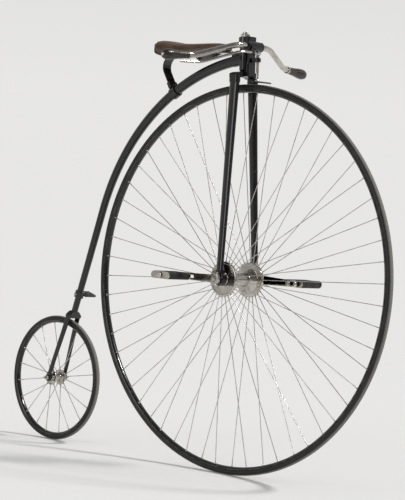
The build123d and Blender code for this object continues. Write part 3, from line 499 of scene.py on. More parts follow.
def turned_piece(name, places, ways, profile, body, finish, node=None, flats=None,
                 steps=48):
    """Copies of a turned shape, each standing on its place and pointing its way. A ring lies
    profile's height along the way, at profile's radius times the cosine and sine of the turn,
    and flats, if given, is half the width of a hexagon that no ring may pass: a flat's radius
    is that half width over the cosine of the turn from the flat's middle. A profile with
    neither end on the axis is a ring that closes on itself."""
    places, ways = np.atleast_2d(places), unit(np.atleast_2d(ways))
    ways = ways + 0.0 * places
    first = unit(np.cross(ways, ASKEW))
    second = np.cross(ways, first)
    turn = full_turn(steps)
    height, radius = np.asarray(profile, float).T
    closed = bool(radius[0] and radius[-1])
    radius = np.broadcast_to(radius[:, None], (len(height), steps))
    if flats:
        from_flat = (turn + np.pi / 6) % (np.pi / 3) - np.pi / 6
        radius = np.minimum(radius, flats / np.cos(from_flat))
    ring = np.cos(turn)[:, None] * first[:, None] + np.sin(turn)[:, None] * second[:, None]
    middle = places[:, None] + ways[:, None] * height[None, :, None]
    grids = middle[:, :, None] + radius[None, :, :, None] * ring[:, None]
    return make_piece(name, grids, body, finish, node, rows_closed=closed)


def steel(name):
    """Bare steel wire and bright turned parts, dulled in patches."""
    material, tree, shader = new_finish(name)
    dull = patches(tree, 30.0, 4.0, 0.40, 0.72)
    wire(tree, shader, {
        "Base Color": blended(tree, dull, (0.55, 0.54, 0.52), (0.33, 0.30, 0.26)),
        "Metallic": 1.0, "Roughness": between(tree, dull, 0.0, 1.0, 0.22, 0.45),
    })
    relief(tree, shader, (cloud(tree, 1100.0, 2.0), 0.00003))
    return material


SPOKE, SPOKE_END = 0.0013, 0.0016
THICK_END = 0.020
THIN_FROM = THICK_END * 1.3
SPOKE_SEAT = 0.0080
SPOKE_IN_RIM = 0.001
SPOKE_RIM_ACROSS = 0.0030
COLLAR = [(0, 0), (0, 0.0030), (0.0033, 0.0030), (0.0044, 0.0022), (0.0055, 0.0019), (0.0055, 0)]
COLLAR_SUNK = 0.0006
FERRULE = [(0, 0), (0, 0.0034), (0.0008, 0.0034), (0.0030, 0.0024), (0.0050, 0.0018), (0.0050, 0)]
spoke_steel = steel("spoke_steel")
for wheel, (body, axle, _, _, count) in wheels.items():
    flange, middle = hub_sizes[wheel][2:4]
    number = np.arange(count)
    turn = 2 * np.pi * (number + 0.5) / count
    side = np.where(number % 2, 1.0, -1.0)
    outward = np.stack([np.sin(turn), np.zeros(count), np.cos(turn)], -1)
    across = np.stack([np.zeros(count), side, np.zeros(count)], -1)
    root = axle + outward * (flange - SPOKE_SEAT) + across * middle
    tip = axle + outward * (rims_inside[wheel] + SPOKE_IN_RIM) + across * SPOKE_RIM_ACROSS
    length = np.linalg.norm(tip[0] - root[0])
    wire_line = [
        (0, 0), (0, SPOKE_END), (THICK_END, SPOKE_END), (THIN_FROM, SPOKE),
        (length - THIN_FROM, SPOKE), (length - THICK_END, SPOKE_END), (length, SPOKE_END),
        (length, 0),
    ]
    way = (tip - root) / length
    for name, places, ways, profile, node in (
        ("_spokes", root, way, wire_line, wheel + "_hub"),
        ("_spoke_collars", root + way * (SPOKE_SEAT - COLLAR_SUNK), way, COLLAR, None),
        ("_spoke_ferrules", tip, -way, FERRULE, None),
    ):
        turned_piece(
            wheel + name, places, ways, profile, body, spoke_steel, node,
            steps=12,
        )

# The front axle is one turned steel bar that goes round with the wheel. Each crank is driven
# on its end and kept there by a tapered steel cotter, drawn tight by a small nut.
AXLE_HALF = 0.1230
AXLE_END = np.array([(0, 0), (0.0022, 0.0024), (0, 0.0030), (0, 0.0072), (0.0018, 0.0090)])
COTTER = [(0, 0), (0, 0.0026), (0.0008, 0.0030), (0.0060, 0.0030), (0.0460, 0.0044),
          (0.0470, 0.0036), (0.0470, 0)]
COTTER_NUT = [(0, 0.0029), (0, 0.0050), (0.0006, 0.0056), (0.0044, 0.0056), (0.0050, 0.0050),
              (0.0050, 0.0029)]
COTTER_NUT_HALF = 0.0050
COTTER_NUT_UP = 0.0012
COTTER_BACK, CRANK_MIDDLE, COTTER_LOW = 0.0088, 0.1115, 0.0235
turned_steel = steel("turned_steel")
axle_line = np.vstack([AXLE_END, [(2 * AXLE_HALF, 0)] + AXLE_END[::-1] * [-1, 1]])
turned_piece(
    "front_axle_bar", front_axle - [0, AXLE_HALF, 0], [0, 1, 0], axle_line, "front_wheel",
    turned_steel, "front_axle",
)
cotter_foot = front_axle + np.array([
    [-COTTER_BACK, CRANK_MIDDLE, -COTTER_LOW], [COTTER_BACK, -CRANK_MIDDLE, -COTTER_LOW],
])
for name, lift, profile, flats in (
    ("crank_cotters", 0, COTTER, None),
    ("crank_cotter_nuts", COTTER_NUT_UP, COTTER_NUT, COTTER_NUT_HALF),
):
    turned_piece(
        name, cotter_foot + [0, 0, lift], [0, 0, 1], profile, "front_wheel",
        turned_steel, flats=flats, steps=24,
    )

# The cranks are forged steel, nickel plated, with a slot in which the pedal pin is set nearer
# or farther. Their edges are rounded off by polishing.
SIDES = (("left", 1.0), ("right", -1.0))  # along Y
CRANK_EDGE = 0.0016
FLAT_UNDER, SHARP, NARROW = math.radians(0.6), math.radians(30), math.radians(38)
HARD_EDGE, EASE_STEP = 0.03, 0.085  # shares of the width


def ease_shares(work):
    """What share of the whole width each sharp edge can be cut back by. A line of edges that
    runs into a narrow corner of a face, or on into an edge that isn't sharp, gets almost none,
    because the cut would slide a long way there. From such an edge the share then grows by a
    step for each edge that follows, up to one."""
    sharp = {edge for edge in work.edges if edge.is_manifold and edge.calc_face_angle() > SHARP}
    eased = set(sharp)

    def slides(edge):
        for loop in edge.link_loops:
            after = loop.link_loop_next
            for corner, beside in ((loop, loop.link_loop_prev.edge), (after, after.edge)):
                angle = corner.calc_angle()
                if angle < NARROW or (angle > math.pi - NARROW and beside not in eased):
                    return True
        return False

    while sliding := {edge for edge in eased if slides(edge)}:
        eased -= sliding
    shares = {edge: 1.0 if edge in eased else HARD_EDGE for edge in sharp}
    for _ in range(round(1 / EASE_STEP)):
        for edge in eased:
            near = [shares.get(other, 1.0) for vert in edge.verts for other in vert.link_edges]
            shares[edge] = min(shares[edge], min(near) + EASE_STEP)
    return shares


def eased_copy(node, name, body, finish, width, segments=3):
    """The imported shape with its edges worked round: its mesh merged, its flat faces joined,
    and each sharp edge cut back on an arc by its share of the width."""
    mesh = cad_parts[node].data.copy()
    mesh.name = name
    mesh.materials.clear()
    if "custom_normal" in mesh.attributes:
        mesh.attributes.remove(mesh.attributes["custom_normal"])
    work = bmesh.new()
    work.from_mesh(mesh)
    bmesh.ops.remove_doubles(work, verts=work.verts, dist=MEET)
    bmesh.ops.dissolve_limit(work, angle_limit=FLAT_UNDER, verts=work.verts, edges=work.edges)
    layer = work.edges.layers.float.new("bevel_weight_edge")
    shares = ease_shares(work)
    for edge in work.edges:
        edge.smooth = True
        edge[layer] = shares.get(edge, 0.0)
    work.to_mesh(mesh)
    work.free()
    mesh.polygons.foreach_set("use_smooth", np.ones(len(mesh.polygons), bool))
    piece = bpy.data.objects.new(name, mesh)
    easing = piece.modifiers.new("rounded_edges", "BEVEL")
    easing.width = width
    easing.segments = segments
    easing.limit_method = "WEIGHT"
    easing.harden_normals = True
    easing.use_clamp_overlap = False
    return placed(piece, body, finish, node)


crank_nickel = nickel("crank_nickel")
for side, _ in SIDES:
    eased_copy(
        "crank_" + side, "crank_forging_" + side, "front_wheel", crank_nickel,
        CRANK_EDGE,
    )

# Each pedal turns on a steel pin with a collar outside the crank, a hexagon nut inside it
# and a domed end. Two oval plates on a sleeve hold a pair of square grooved rubber blocks.
PIN_AT = 0.140
PIN_NUT_HALF = 0.0090
PIN_BARE = 0.0053
PIN_BODY = [(0.0950, 0), (0.0950, 0.0046), (0.0962, PIN_BARE), (0.1180, PIN_BARE),
            (0.1180, 0.0088), (0.1187, 0.0095), (0.1223, 0.0095), (0.1230, 0.0088),
            (0.1230, PIN_BARE), (0.2320, PIN_BARE), (0.2320, 0.0090), (0.2326, 0.0095),
            (0.2335, 0.0095), (0.2352, 0.0078), (0.2360, 0.0045), (0.2360, 0)]
PIN_NUT = [(0.0980, 0.0055), (0.0980, 0.0085), (0.0990, 0.0104), (0.1040, 0.0104),
           (0.1050, 0.0085), (0.1050, 0.0055)]
PLATE_EDGE = 0.0010
RUBBER_EDGE = 0.0007


def pedal_rubber(name):
    """Black block rubber, rubbed grey and dusty where the shoe lies."""
    material, tree, shader = new_finish(name)
    dust = patches(tree, 45.0, 5.0, 0.40, 0.72)
    wire(tree, shader, {
        "Base Color": blended(tree, dust, (0.016, 0.015, 0.014), (0.052, 0.047, 0.040)),
        "Roughness": between(tree, dust, 0.0, 1.0, 0.5, 0.8), "Specular IOR Level": 0.3,
    })
    relief(tree, shader, (cloud(tree, 1500.0, 2.0), 0.00015))
    return material


block_rubber = pedal_rubber("block_rubber")
pedal_nickel = nickel("pedal_nickel")
for side, way in SIDES:
    for name, profile, flats in (("bar_", PIN_BODY, None), ("nut_", PIN_NUT, PIN_NUT_HALF)):
        turned_piece(
            "pedal_pin_" + name + side, front_axle + [way * PIN_AT, 0, 0], [0, way, 0], profile,
            "front_wheel", turned_steel, "pedal_pin_" + side, flats,
        )
    eased_copy(
        "pedal_cage_" + side, "pedal_plates_" + side, "pedal_" + side,
        pedal_nickel, PLATE_EDGE,
    )
    eased_copy(
        "pedal_rubbers_" + side, "pedal_blocks_" + side, "pedal_" + side,
        block_rubber, RUBBER_EDGE, 2,
    )

# The front axle runs in a round steel ball case at the foot of each blade. A ring of cheese
# headed screws holds its outer plate, and a small capped cup takes the oil.
CASE_EDGE = 0.0012
CASE_FACE, CASE_MIDDLE = 0.1000, 0.0880
SCREWS, SCREW_RING, SCREW_FIRST = 6, 0.0205, 0.26
SCREW = [(-0.0005, 0), (-0.0005, 0.0023), (0.0010, 0.0023), (0.0015, 0.0018), (0.0015, 0)]
OIL_CUP_RING, OIL_CUP_TURN = 0.0232, math.radians(52)
OIL_CUP = [(0, 0), (0, 0.0036), (0.0030, 0.0036), (0.0036, 0.0024), (0.0066, 0.0024),
           (0.0070, 0.0035), (0.0098, 0.0035), (0.0108, 0.0024), (0.0110, 0)]
turn = full_turn(SCREWS) + SCREW_FIRST
screw_ring = SCREW_RING * np.stack([np.sin(turn), 0 * turn, np.cos(turn)], -1)
cup_way = np.array([math.sin(OIL_CUP_TURN), 0, math.cos(OIL_CUP_TURN)])
case_enamel = black_enamel("case_enamel")
for side, way in SIDES:
    eased_copy(
        "bearing_case_" + side, "ball_case_" + side, "steering", case_enamel,
        CASE_EDGE,
    )
    turned_piece(
        "ball_case_screws_" + side, front_axle + screw_ring + [0, way * CASE_FACE, 0],
        [0, way, 0], SCREW, "steering", turned_steel, steps=16,
    )
    turned_piece(
        "oil_cup_" + side, front_axle + [0, way * CASE_MIDDLE, 0] + cup_way * OIL_CUP_RING,
        cup_way, OIL_CUP, "steering", turned_steel, steps=24,
    )

# The fork blades are hollow steel tubes drawn to an oval that narrows towards the axle, and
# they are brazed over the crown's ends and the lugs of the ball cases.
RAKE = math.radians(3.0)
BLADE_FOOT = (0.0270, 0.0880, 0.0130, 0.0070)  # up, out, half length, half thickness
BLADE_TOP = (0.6670, 0.0448, 0.0190, 0.0100)
BLADE_ROWS, BLADE_SIDES = 90, 56
BLADE_SQUARE = 2.5
BEAD, BEAD_AT, BEAD_SPAN = 0.0006, 0.985, 0.006


def leant(places, centre=front_axle):
    """Places drawn about an upright line, leant back by the rake about the front axle: the
    two are turned into each other in X and Z by its cosine and sine."""
    x, y, z = np.moveaxis(np.asarray(places, float), -1, 0)
    return centre + np.stack([
        x * math.cos(RAKE) - z * math.sin(RAKE), y, x * math.sin(RAKE) + z * math.cos(RAKE),
    ], -1)


def oval_rings():
    """A tapering oval tube: at each height a superellipse, whose half length and half
    thickness are the cosine and sine of the turn to the power of two over its squareness.
    Near the top a bead stands out all round, as a bell curve of the height."""
    share = np.linspace(0, 1, BLADE_ROWS)[:, None]
    up, out, long, thick = (foot * (1 - share) + top * share
                            for foot, top in zip(BLADE_FOOT, BLADE_TOP))
    turn = full_turn(BLADE_SIDES)
    bead = BEAD * np.exp(-((share - BEAD_AT) / BEAD_SPAN) ** 2)
    power = 2 / BLADE_SQUARE
    along = np.sign(np.cos(turn)) * np.abs(np.cos(turn)) ** power * (long + bead)
    beside = np.sign(np.sin(turn)) * np.abs(np.sin(turn)) ** power * (thick + bead)
    return np.stack([along, out + beside, up + 0 * along], -1)


def capped(rings):
    """The rings with a point in the middle of the first and the last, so that both close."""
    first, last = (np.repeat(ring.mean(1, keepdims=True), rings.shape[1], 1)
                   for ring in (rings[:1], rings[-1:]))
    return np.vstack([first, rings, last])


blade_enamel = black_enamel("blade_enamel")
for side, way in SIDES:
    make_piece(
        "oval_blade_" + side, leant(capped(oval_rings()) * [1, way, 1]), "steering",
        blade_enamel, "fork_blade_" + side,
    )

# The head is one steel forging: the crown over the blades, a web up its front, a lug over
# the neck and a boss for the handlebar. It is filed smooth and stoved black.
HEAD_EDGE = 0.0012
eased_copy(
    "fork_head", "open_head", "steering", black_enamel("head_enamel"),
    HEAD_EDGE, 4,
)

# The neck stands between two cone points inside the open head. The tube's socket and the
# flat pad under the saddle spring are brazed to its back.
NECK_EDGE = 0.0014
eased_copy(
    "neck", "neck_pillar", "frame", black_enamel("neck_enamel"), NECK_EDGE,
)

# The centre bolt comes down through the lug to the neck's top cone. Its thread is cut fine,
# a lock nut sits on the lug, and its end is a smaller hexagon for the spanner.
BOLT_LOW, BOLT_TOP, LUG_TOP = 0.7923, 0.8373, 0.8193
BOLT = 0.0118
BOLT_HEX_HALF = 0.0090
THREAD_PITCH, THREAD_DEEP = 0.0012, 0.0005
THREAD_OUT, BOLT_POINT = 0.0020, 0.0026  # over the nut
NUT_TALL, NUT_HALF = 0.0100, 0.0160
NUT_TOP = LUG_TOP + NUT_TALL
COLLAR_TALL = 0.0012
COLLAR_OUT, NUT_FOOT, NUT_FACE = 1.02, 0.97, 0.93  # of a nut's half width
FOOT_UP, FACE_FROM = 0.08, 0.88  # of its height


def nut_profile(low, tall, hole, half):
    """A hexagon nut standing on a collar: its corners are cut back at both ends."""
    corner = half / math.cos(math.pi / 6)
    foot = low + COLLAR_TALL
    return [
        (low, hole), (low, half * COLLAR_OUT), (foot, half * COLLAR_OUT), (foot, half * NUT_FOOT),
        (foot + tall * FOOT_UP, corner), (low + tall * FACE_FROM, corner),
        (low + tall, half * NUT_FACE), (low + tall, hole),
    ]


def threads(low, high, radius, pitch, deep):
    """A cut thread's outline: it rises and falls by its depth once for each pitch."""
    corners = np.arange(2 * round((high - low) / pitch) + 1)
    return np.stack([np.linspace(low, high, len(corners)), radius - deep * (corners % 2)], -1)


bolt_line = np.vstack([
    [(BOLT_LOW, 0), (BOLT_LOW, BOLT)],
    threads(LUG_TOP + NUT_TALL / 2, NUT_TOP + THREAD_OUT, BOLT, THREAD_PITCH, THREAD_DEEP),
    [(NUT_TOP + BOLT_POINT, 0)],
])
bolt_hex = [
    (NUT_TOP, 0), (NUT_TOP, 0.0104), (BOLT_TOP - 0.0010, 0.0104), (BOLT_TOP, 0.0088),
    (BOLT_TOP, 0.0022), (BOLT_TOP - 0.0016, 0),
]
lock_nut = nut_profile(LUG_TOP, NUT_TALL, BOLT - THREAD_DEEP, NUT_HALF)
steering_way = leant([0, 0, 1], 0)
for name, profile, flats in (
    ("centre_bolt", bolt_line, None), ("centre_bolt_hexagon", bolt_hex, BOLT_HEX_HALF),
    ("centre_lock_nut", lock_nut, NUT_HALF),
):
    turned_piece(
        name, front_axle, steering_way, profile, "steering", turned_steel,
        "head_bolt", flats, steps=60,
    )


# The handlebar is a solid steel bar, bent down and back like a moustache, polished and
# nickel plated all over. It is clamped in the boss by a grub screw from behind.
def dress(node, finish):
    """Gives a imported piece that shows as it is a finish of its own."""
    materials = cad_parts[node].data.materials
    materials.clear()
    materials.append(finish)


bar_nickel = nickel("bar_nickel")
dress("handlebar", bar_nickel)

# The grips are turned from buffalo horn to a pear shape, with a nickel ferrule at the inner
# end and a screwed button at the outer one.
BAR_AT = np.array([0.0400, 0, 0.7863])
BAR_BEND = np.array([-0.0600, 0.2260, -0.0500])
BAR_END = np.array([-0.0760, 0.3500, -0.0580])
GRIP_OVER_BAR = 0.1077
GRIP_BANDS = [(0.0080, 0.0122), (0.0200, 0.0124), (0.0460, 0.0139), (0.0620, 0.0156),
              (0.0780, 0.0174), (0.0920, 0.0179), (0.1030, 0.0167), (0.1100, 0.0138),
              (0.1150, 0.0092), (0.1160, 0.0050)]
GRIP_START, GRIP_FINISH = (0.0080, 0.0103), (0.1155, 0)
GRIP_ROWS = 90
GRIP_TURNINGS = [0.0500, 0.0960]
TURNING_DEEP, TURNING_SPAN = 0.0004, 0.0009
FERRULE_LINE = [(0, 0.0103), (0, 0.0118), (0.0006, 0.0124), (0.0020, 0.0124), (0.0026, 0.0119),
                (0.0062, 0.0119), (0.0068, 0.0125), (0.0084, 0.0125), (0.0090, 0.0120),
                (0.0090, 0.0103)]
BUTTON = [(0.1150, 0), (0.1150, 0.0052), (0.1156, 0.0056), (0.1164, 0.0054), (0.1174, 0.0040),
          (0.1179, 0.0018), (0.1180, 0)]


def smooth_line(points, steps):
    """A smooth curve through points: between two of them a cubic whose slope at each is that
    of the chord from its neighbour before to its neighbour after."""
    points = np.asarray(points, float)
    before = np.vstack([2 * points[:1] - points[1:2], points[:-1]])
    after = np.vstack([points[1:], 2 * points[-1:] - points[-2:-1]])
    slope = (after - before) / 2
    at = np.linspace(0, len(points) - 1, steps)
    number = np.minimum(at.astype(int), len(points) - 2)
    t = (at - number)[:, None]
    return ((2 * t**3 - 3 * t**2 + 1) * points[number] + (t**3 - 2 * t**2 + t) * slope[number]
            + (3 * t**2 - 2 * t**3) * points[number + 1] + (t**3 - t**2) * slope[number + 1])


def horn(name, along):
    """Polished horn: nearly black, with brown and grey streaks that run along the handle."""
    material, tree, shader = new_finish(name)
    stretch = tuple(10.0 if abs(share) < 0.5 else 1.0 for share in along)
    streak = patches(tree, 22.0, 5.0, 0.44, 0.70, stretch=stretch)
    pale = patches(tree, 9.0, 4.0, 0.56, 0.78, stretch=stretch)
    colour = blended(tree, streak, (0.014, 0.011, 0.009), (0.060, 0.038, 0.022))
    wire(tree, shader, {
        "Base Color": blended(tree, pale, colour, (0.115, 0.085, 0.055)),
        "Roughness": between(tree, streak, 0.0, 1.0, 0.22, 0.42),
    })
    relief(tree, shader, (cloud(tree, 60.0, 3.0, stretch), 0.00012))
    return material


grip_way = unit(BAR_END - BAR_BEND)
grip_foot = BAR_END + BAR_AT - grip_way * GRIP_OVER_BAR
grip_line = smooth_line(GRIP_BANDS, GRIP_ROWS)
for cut in GRIP_TURNINGS:
    grip_line[:, 1] -= TURNING_DEEP * np.exp(-((grip_line[:, 0] - cut) / TURNING_SPAN) ** 2)
grip_line = np.vstack([GRIP_START, grip_line, GRIP_FINISH])
horn_finish = horn("buffalo_horn", grip_way)
for side, way in SIDES:
    foot = leant(grip_foot * [1, way, 1])
    outward = leant(grip_way * [1, way, 1], 0)
    for name, profile, slot, finish in (
        ("horn_grip_", grip_line, "horn_handle", horn_finish),
        ("grip_ferrule_", FERRULE_LINE, "nickel_plate", bar_nickel),
        ("grip_button_", BUTTON, "nickel_plate", bar_nickel),
    ):
        turned_piece(
            name + side, foot, outward, profile, "steering", finish, "grip_" + side,
            steps=56,
        )

# The brake is a plain round lever whose tail bears on an upright plunger. The plunger slides
# in its guide against a coil of spring wire, and its foot is a curved spoon over the tyre.
PLUNGER_AHEAD, PLUNGER_FOOT = 0.0600, 0.6665
PLUNGER = [(0, 0), (0, 0.0078), (0.0016, 0.0084), (0.0050, 0.0080), (0.0085, 0.0050),
           (0.0850, 0.0050), (0.0850, 0.0060), (0.0856, 0.0066), (0.0874, 0.0066),
           (0.0880, 0.0058), (0.0880, 0)]
SPOON_LOW = 0.0080  # above the tyre
SPOON_WALL, SPOON_WIDE = 0.0034, 0.0150
SPOON_ENDS = 0.0430, 0.1215  # ahead of the steering line
SPOON_ROWS, SPOON_COLUMNS = 61, 25
SPOON_SQUARE = 2.6
SPOON_DROOP = 0.0022
COIL_LOW, COIL_HIGH = 0.7466, 0.7510
COIL_RADIUS, COIL_WIRE = 0.0066, 0.0007
COIL_TURNS, COIL_STEPS, COIL_SIDES = 4, 24, 10
COIL_UP = (0.12, 0.05, 0.99)  # nearly along the coil, never along its wire
dress("brake_lever", nickel("lever_nickel"))


def spoon_skin():
    """The spoon's upper face. Along runs round the tyre, its rows spaced as a cosine, and
    across to both sides as far as a superellipse on the spoon's length allows. It lies on a
    circle about the front axle, a wall above the spoon's lower face, and droops to its edges
    as the square of across."""
    along = -np.cos(np.linspace(0, np.pi, SPOON_ROWS))[:, None]
    across = np.linspace(-1, 1, SPOON_COLUMNS)[None, :]
    middle, half = sum(SPOON_ENDS) / 2, (SPOON_ENDS[1] - SPOON_ENDS[0]) / 2
    wide = SPOON_WIDE * (1 - np.abs(along) ** SPOON_SQUARE) ** (1 / SPOON_SQUARE)
    ahead = middle + half * along + 0 * across
    radius = front_radius + SPOON_LOW + SPOON_WALL - SPOON_DROOP * across**2
    return np.stack([ahead, wide * across, np.sqrt(radius**2 - ahead**2)], -1)


def walled(piece, wall):
    """Gives a sheet its wall, on the inner side."""
    thick = piece.modifiers.new("wall", "SOLIDIFY")
    thick.thickness = wall
    thick.offset = -1


def piped(line, radius, sides, beside):
    """A closed round pipe along a line of points. Each ring is a circle in the plane across
    the line's direction there: its first arm is square to that direction and to beside, and
    its second to the direction and the first."""
    way = unit(np.gradient(line, axis=0))
    first = unit(np.cross(way, beside))
    second = np.cross(first, way)
    turn = full_turn(sides)[:, None]
    arms = np.cos(turn) * first[:, None] + np.sin(turn) * second[:, None]
    return capped(line[:, None] + np.broadcast_to(radius, len(line))[:, None, None] * arms)


walled(make_piece(
    "brake_spoon_plate", leant(spoon_skin()), "steering",
    black_enamel("brake_enamel"), "brake_spoon", columns_closed=False,
), SPOON_WALL)
turned_piece(
    "brake_plunger", leant([PLUNGER_AHEAD, 0, PLUNGER_FOOT]), steering_way, PLUNGER,
    "steering", turned_steel, "brake_spoon", steps=32,
)
turn = np.linspace(0, 2 * np.pi * COIL_TURNS, COIL_STEPS * COIL_TURNS)
coil_line = leant(np.stack([
    PLUNGER_AHEAD + COIL_RADIUS * np.cos(turn), COIL_RADIUS * np.sin(turn),
    np.linspace(COIL_LOW, COIL_HIGH, len(turn)),
], -1))
make_piece(
    "plunger_coil", piped(coil_line, COIL_WIRE, COIL_SIDES, COIL_UP), "steering",
    steel("coil_wire"),
)

# The backbone is one steel tube, tapered all the way and bent to follow the front wheel. It
# is brazed in the neck's socket and in the crown of the rear fork.
BACKBONE_MIDDLE = 0.06043, -0.01797  # of its arc, from the front axle
BACKBONE_ARC = 0.76905
BACKBONE_TURNS = math.radians(100.978), math.radians(163.436)
BACKBONE_ROUND, BACKBONE_SIDES = (0.0180, 0.0115), 64
ARC_POINTS, STRAIGHT_POINTS = 220, 91
REAR_CROWN_AT = 0.2640
BACKBONE_TUCK = 0.0040
turn = np.linspace(*BACKBONE_TURNS, ARC_POINTS)
arc_line = np.stack([
    front_axle[0] + BACKBONE_MIDDLE[0] + BACKBONE_ARC * np.cos(turn), 0 * turn,
    front_axle[2] + BACKBONE_MIDDLE[1] + BACKBONE_ARC * np.sin(turn),
], -1)
tube_way = unit(arc_line[-1] - rear_axle)
run = np.linalg.norm(arc_line[-1] - rear_axle) - REAR_CROWN_AT + BACKBONE_TUCK
straight = arc_line[-1] - tube_way * np.linspace(0, run, STRAIGHT_POINTS)[:, None]
line = np.vstack([arc_line, straight[1:]])
gone = np.concatenate([[0], np.cumsum(np.linalg.norm(np.diff(line, axis=0), axis=1))])
taper = BACKBONE_ROUND[0] + (BACKBONE_ROUND[1] - BACKBONE_ROUND[0]) * gone / gone[-1]
make_piece(
    "tapered_tube", piped(line, taper, BACKBONE_SIDES, [0, 1, 0]), "frame",
    black_enamel("tube_enamel"), "backbone",
)

# The rear fork is one forging, brazed on the tube's end, with flat oval blades and an eye at
# each foot for the fixed axle. Two nuts hold the axle, whose threaded ends stand out.
REAR_EDGE = 0.0022
REAR_NUT_IN, REAR_NUT_TALL, REAR_NUT_HALF = 0.0420, 0.0080, 0.0085
AXLE_ROUND = 0.0050
STUB_ROUND, STUB_IN, STUB_OUT = 0.0040, 0.0510, 0.0610
STUB_PITCH, STUB_DEEP, STUB_POINT = 0.0010, 0.0004, 0.0008
AXLE_BEVEL, STUB_BEVEL = 0.0006, 0.0010
eased_copy(
    "rear_fork", "rear_fork_forging", "frame", black_enamel("rear_enamel"),
    REAR_EDGE,
)
half_axle = np.vstack([
    [(0, AXLE_ROUND), (STUB_IN - AXLE_BEVEL, AXLE_ROUND), (STUB_IN, AXLE_ROUND - AXLE_BEVEL)],
    threads(STUB_IN, STUB_OUT - STUB_POINT, STUB_ROUND, STUB_PITCH, STUB_DEEP),
    [(STUB_OUT, STUB_ROUND - STUB_BEVEL), (STUB_OUT, 0)],
])
turned_piece(
    "rear_axle_bar", rear_axle, [0, 1, 0], np.vstack([half_axle[::-1] * [-1, 1], half_axle[1:]]),
    "frame", turned_steel, "rear_axle", steps=40,
)
rear_nut = nut_profile(REAR_NUT_IN, REAR_NUT_TALL, AXLE_ROUND, REAR_NUT_HALF)
for side, way in SIDES:
    turned_piece(
        "rear_lock_nut_" + side, rear_axle, [0, way, 0], rear_nut, "frame",
        turned_steel, "rear_nut_" + side, REAR_NUT_HALF,
    )

# The mounting step is a steel ring shrunk on the tube, with a plate on the left whose top is
# filed into sharp ridges for the shoe. A square headed set screw stops it turning.
STEP_EDGE = 0.0005
STEP_UP = 0.3300
STEP_SCREW = [(-0.0010, 0), (-0.0010, 0.0040), (0.0010, 0.0040), (0.0010, 0.0052),
              (0.0050, 0.0052), (0.0062, 0.0040), (0.0062, 0)]
STEP_SCREW_HALF = 0.0046
STEP_RING_OUT = 0.0169
RIDGES = 7
RIDGE_TALL, RIDGE_ROOT = 0.0028, -0.0004  # over the plate, and sunk in it
PLATE_HALF_LONG, PLATE_TOP = 0.0210, 0.0030
RIDGE_ENDS = [0.0210, 0.0222, 0.0622, 0.0634]


def ridged_rings():
    """The ridges as one closed body: each ring is a zigzag over the plate and the same points
    again at the ridges' root. At both ends the zigzag comes down to the root, which closes it."""
    ahead = np.linspace(-PLATE_HALF_LONG, PLATE_HALF_LONG, 2 * RIDGES + 1)
    zigzag = RIDGE_TALL * (np.arange(2 * RIDGES + 1) % 2)
    rise = np.array([0, 1, 1, 0])[:, None]
    up = np.hstack([RIDGE_ROOT + (zigzag - RIDGE_ROOT) * rise,
                    np.full((4, 2 * RIDGES + 1), RIDGE_ROOT)])[..., None]
    ahead = np.concatenate([ahead, ahead[::-1]])[None, :, None]
    across = np.array(RIDGE_ENDS)[:, None, None]
    forward = np.array([tube_way[2], 0, -tube_way[0]])
    middle = rear_axle + tube_way * (STEP_UP + PLATE_TOP)
    return middle + ahead * forward + across * np.array([0, 1.0, 0]) + up * tube_way


step_enamel = black_enamel("step_enamel")
eased_copy("mounting_step", "toothed_step", "frame", step_enamel, STEP_EDGE, 2)
turned_piece(
    "step_screw", rear_axle + tube_way * STEP_UP - [0, STEP_RING_OUT, 0], [0, -1, 0],
    STEP_SCREW, "frame", turned_steel, flats=STEP_SCREW_HALF,
)
make_piece("step_ridges", ridged_rings(), "frame", step_enamel)

# The saddle rides on one long leaf of spring steel, bolted on the neck's pad and curled down
# behind into a clip round the tube.
LEAF_EDGE, CLIP_EDGE = 0.0012, 0.0012
LEAF_TOP = 0.7680
LEAF_BOLTS = -0.0740, -0.0980
BOLT_HEAD = [(-0.0008, 0), (-0.0008, 0.0066), (0.0008, 0.0066), (0.0008, 0.0056),
             (0.0012, 0.0064), (0.0046, 0.0064), (0.0056, 0.0050), (0.0056, 0)]
BOLT_HEAD_HALF = 0.0055
eased_copy(
    "saddle_spring", "leaf_spring", "frame", black_enamel("leaf_enamel"),
    LEAF_EDGE,
)
eased_copy(
    "spring_clip", "leaf_clip", "frame", black_enamel("clip_enamel"), CLIP_EDGE,
)
turned_piece(
    "leaf_bolts", front_axle + [[back, 0, LEAF_TOP] for back in LEAF_BOLTS], [0, 0, 1],
    BOLT_HEAD, "frame", turned_steel, flats=BOLT_HEAD_HALF,
)

# The saddle's frame is a flat steel strap with a curved plate at each end. Two bolts stand it
# on the leaf spring, each with a nut on the strap.
SEAT_UP = 0.7996
STRAP_UP, STRAP_ENDS = 0.7780, (0.1140, 0.3880)
STRAP_WIDE, STRAP_THICK, STRAP_EDGE = 0.0300, 0.0040, 0.0012
STRAP_ROWS = 12
PLATE_UNDER, PLATE_WALL = 0.0062, 0.0025
FRAME_BOLT_BACKS = 0.1500, 0.2900
FRAME_BOLT = [(-0.0110, 0), (-0.0110, 0.0060), (0.0030, 0.0060), (0.0030, 0)]
STRAP_NUT = [(0.0018, 0), (0.0018, 0.0088), (0.0026, 0.0088), (0.0026, 0.0078), (0.0031, 0.0090),
             (0.0072, 0.0090), (0.0080, 0.0076), (0.0080, 0.0052), (0.0096, 0.0046), (0.0096, 0)]
STRAP_NUT_HALF = 0.0078
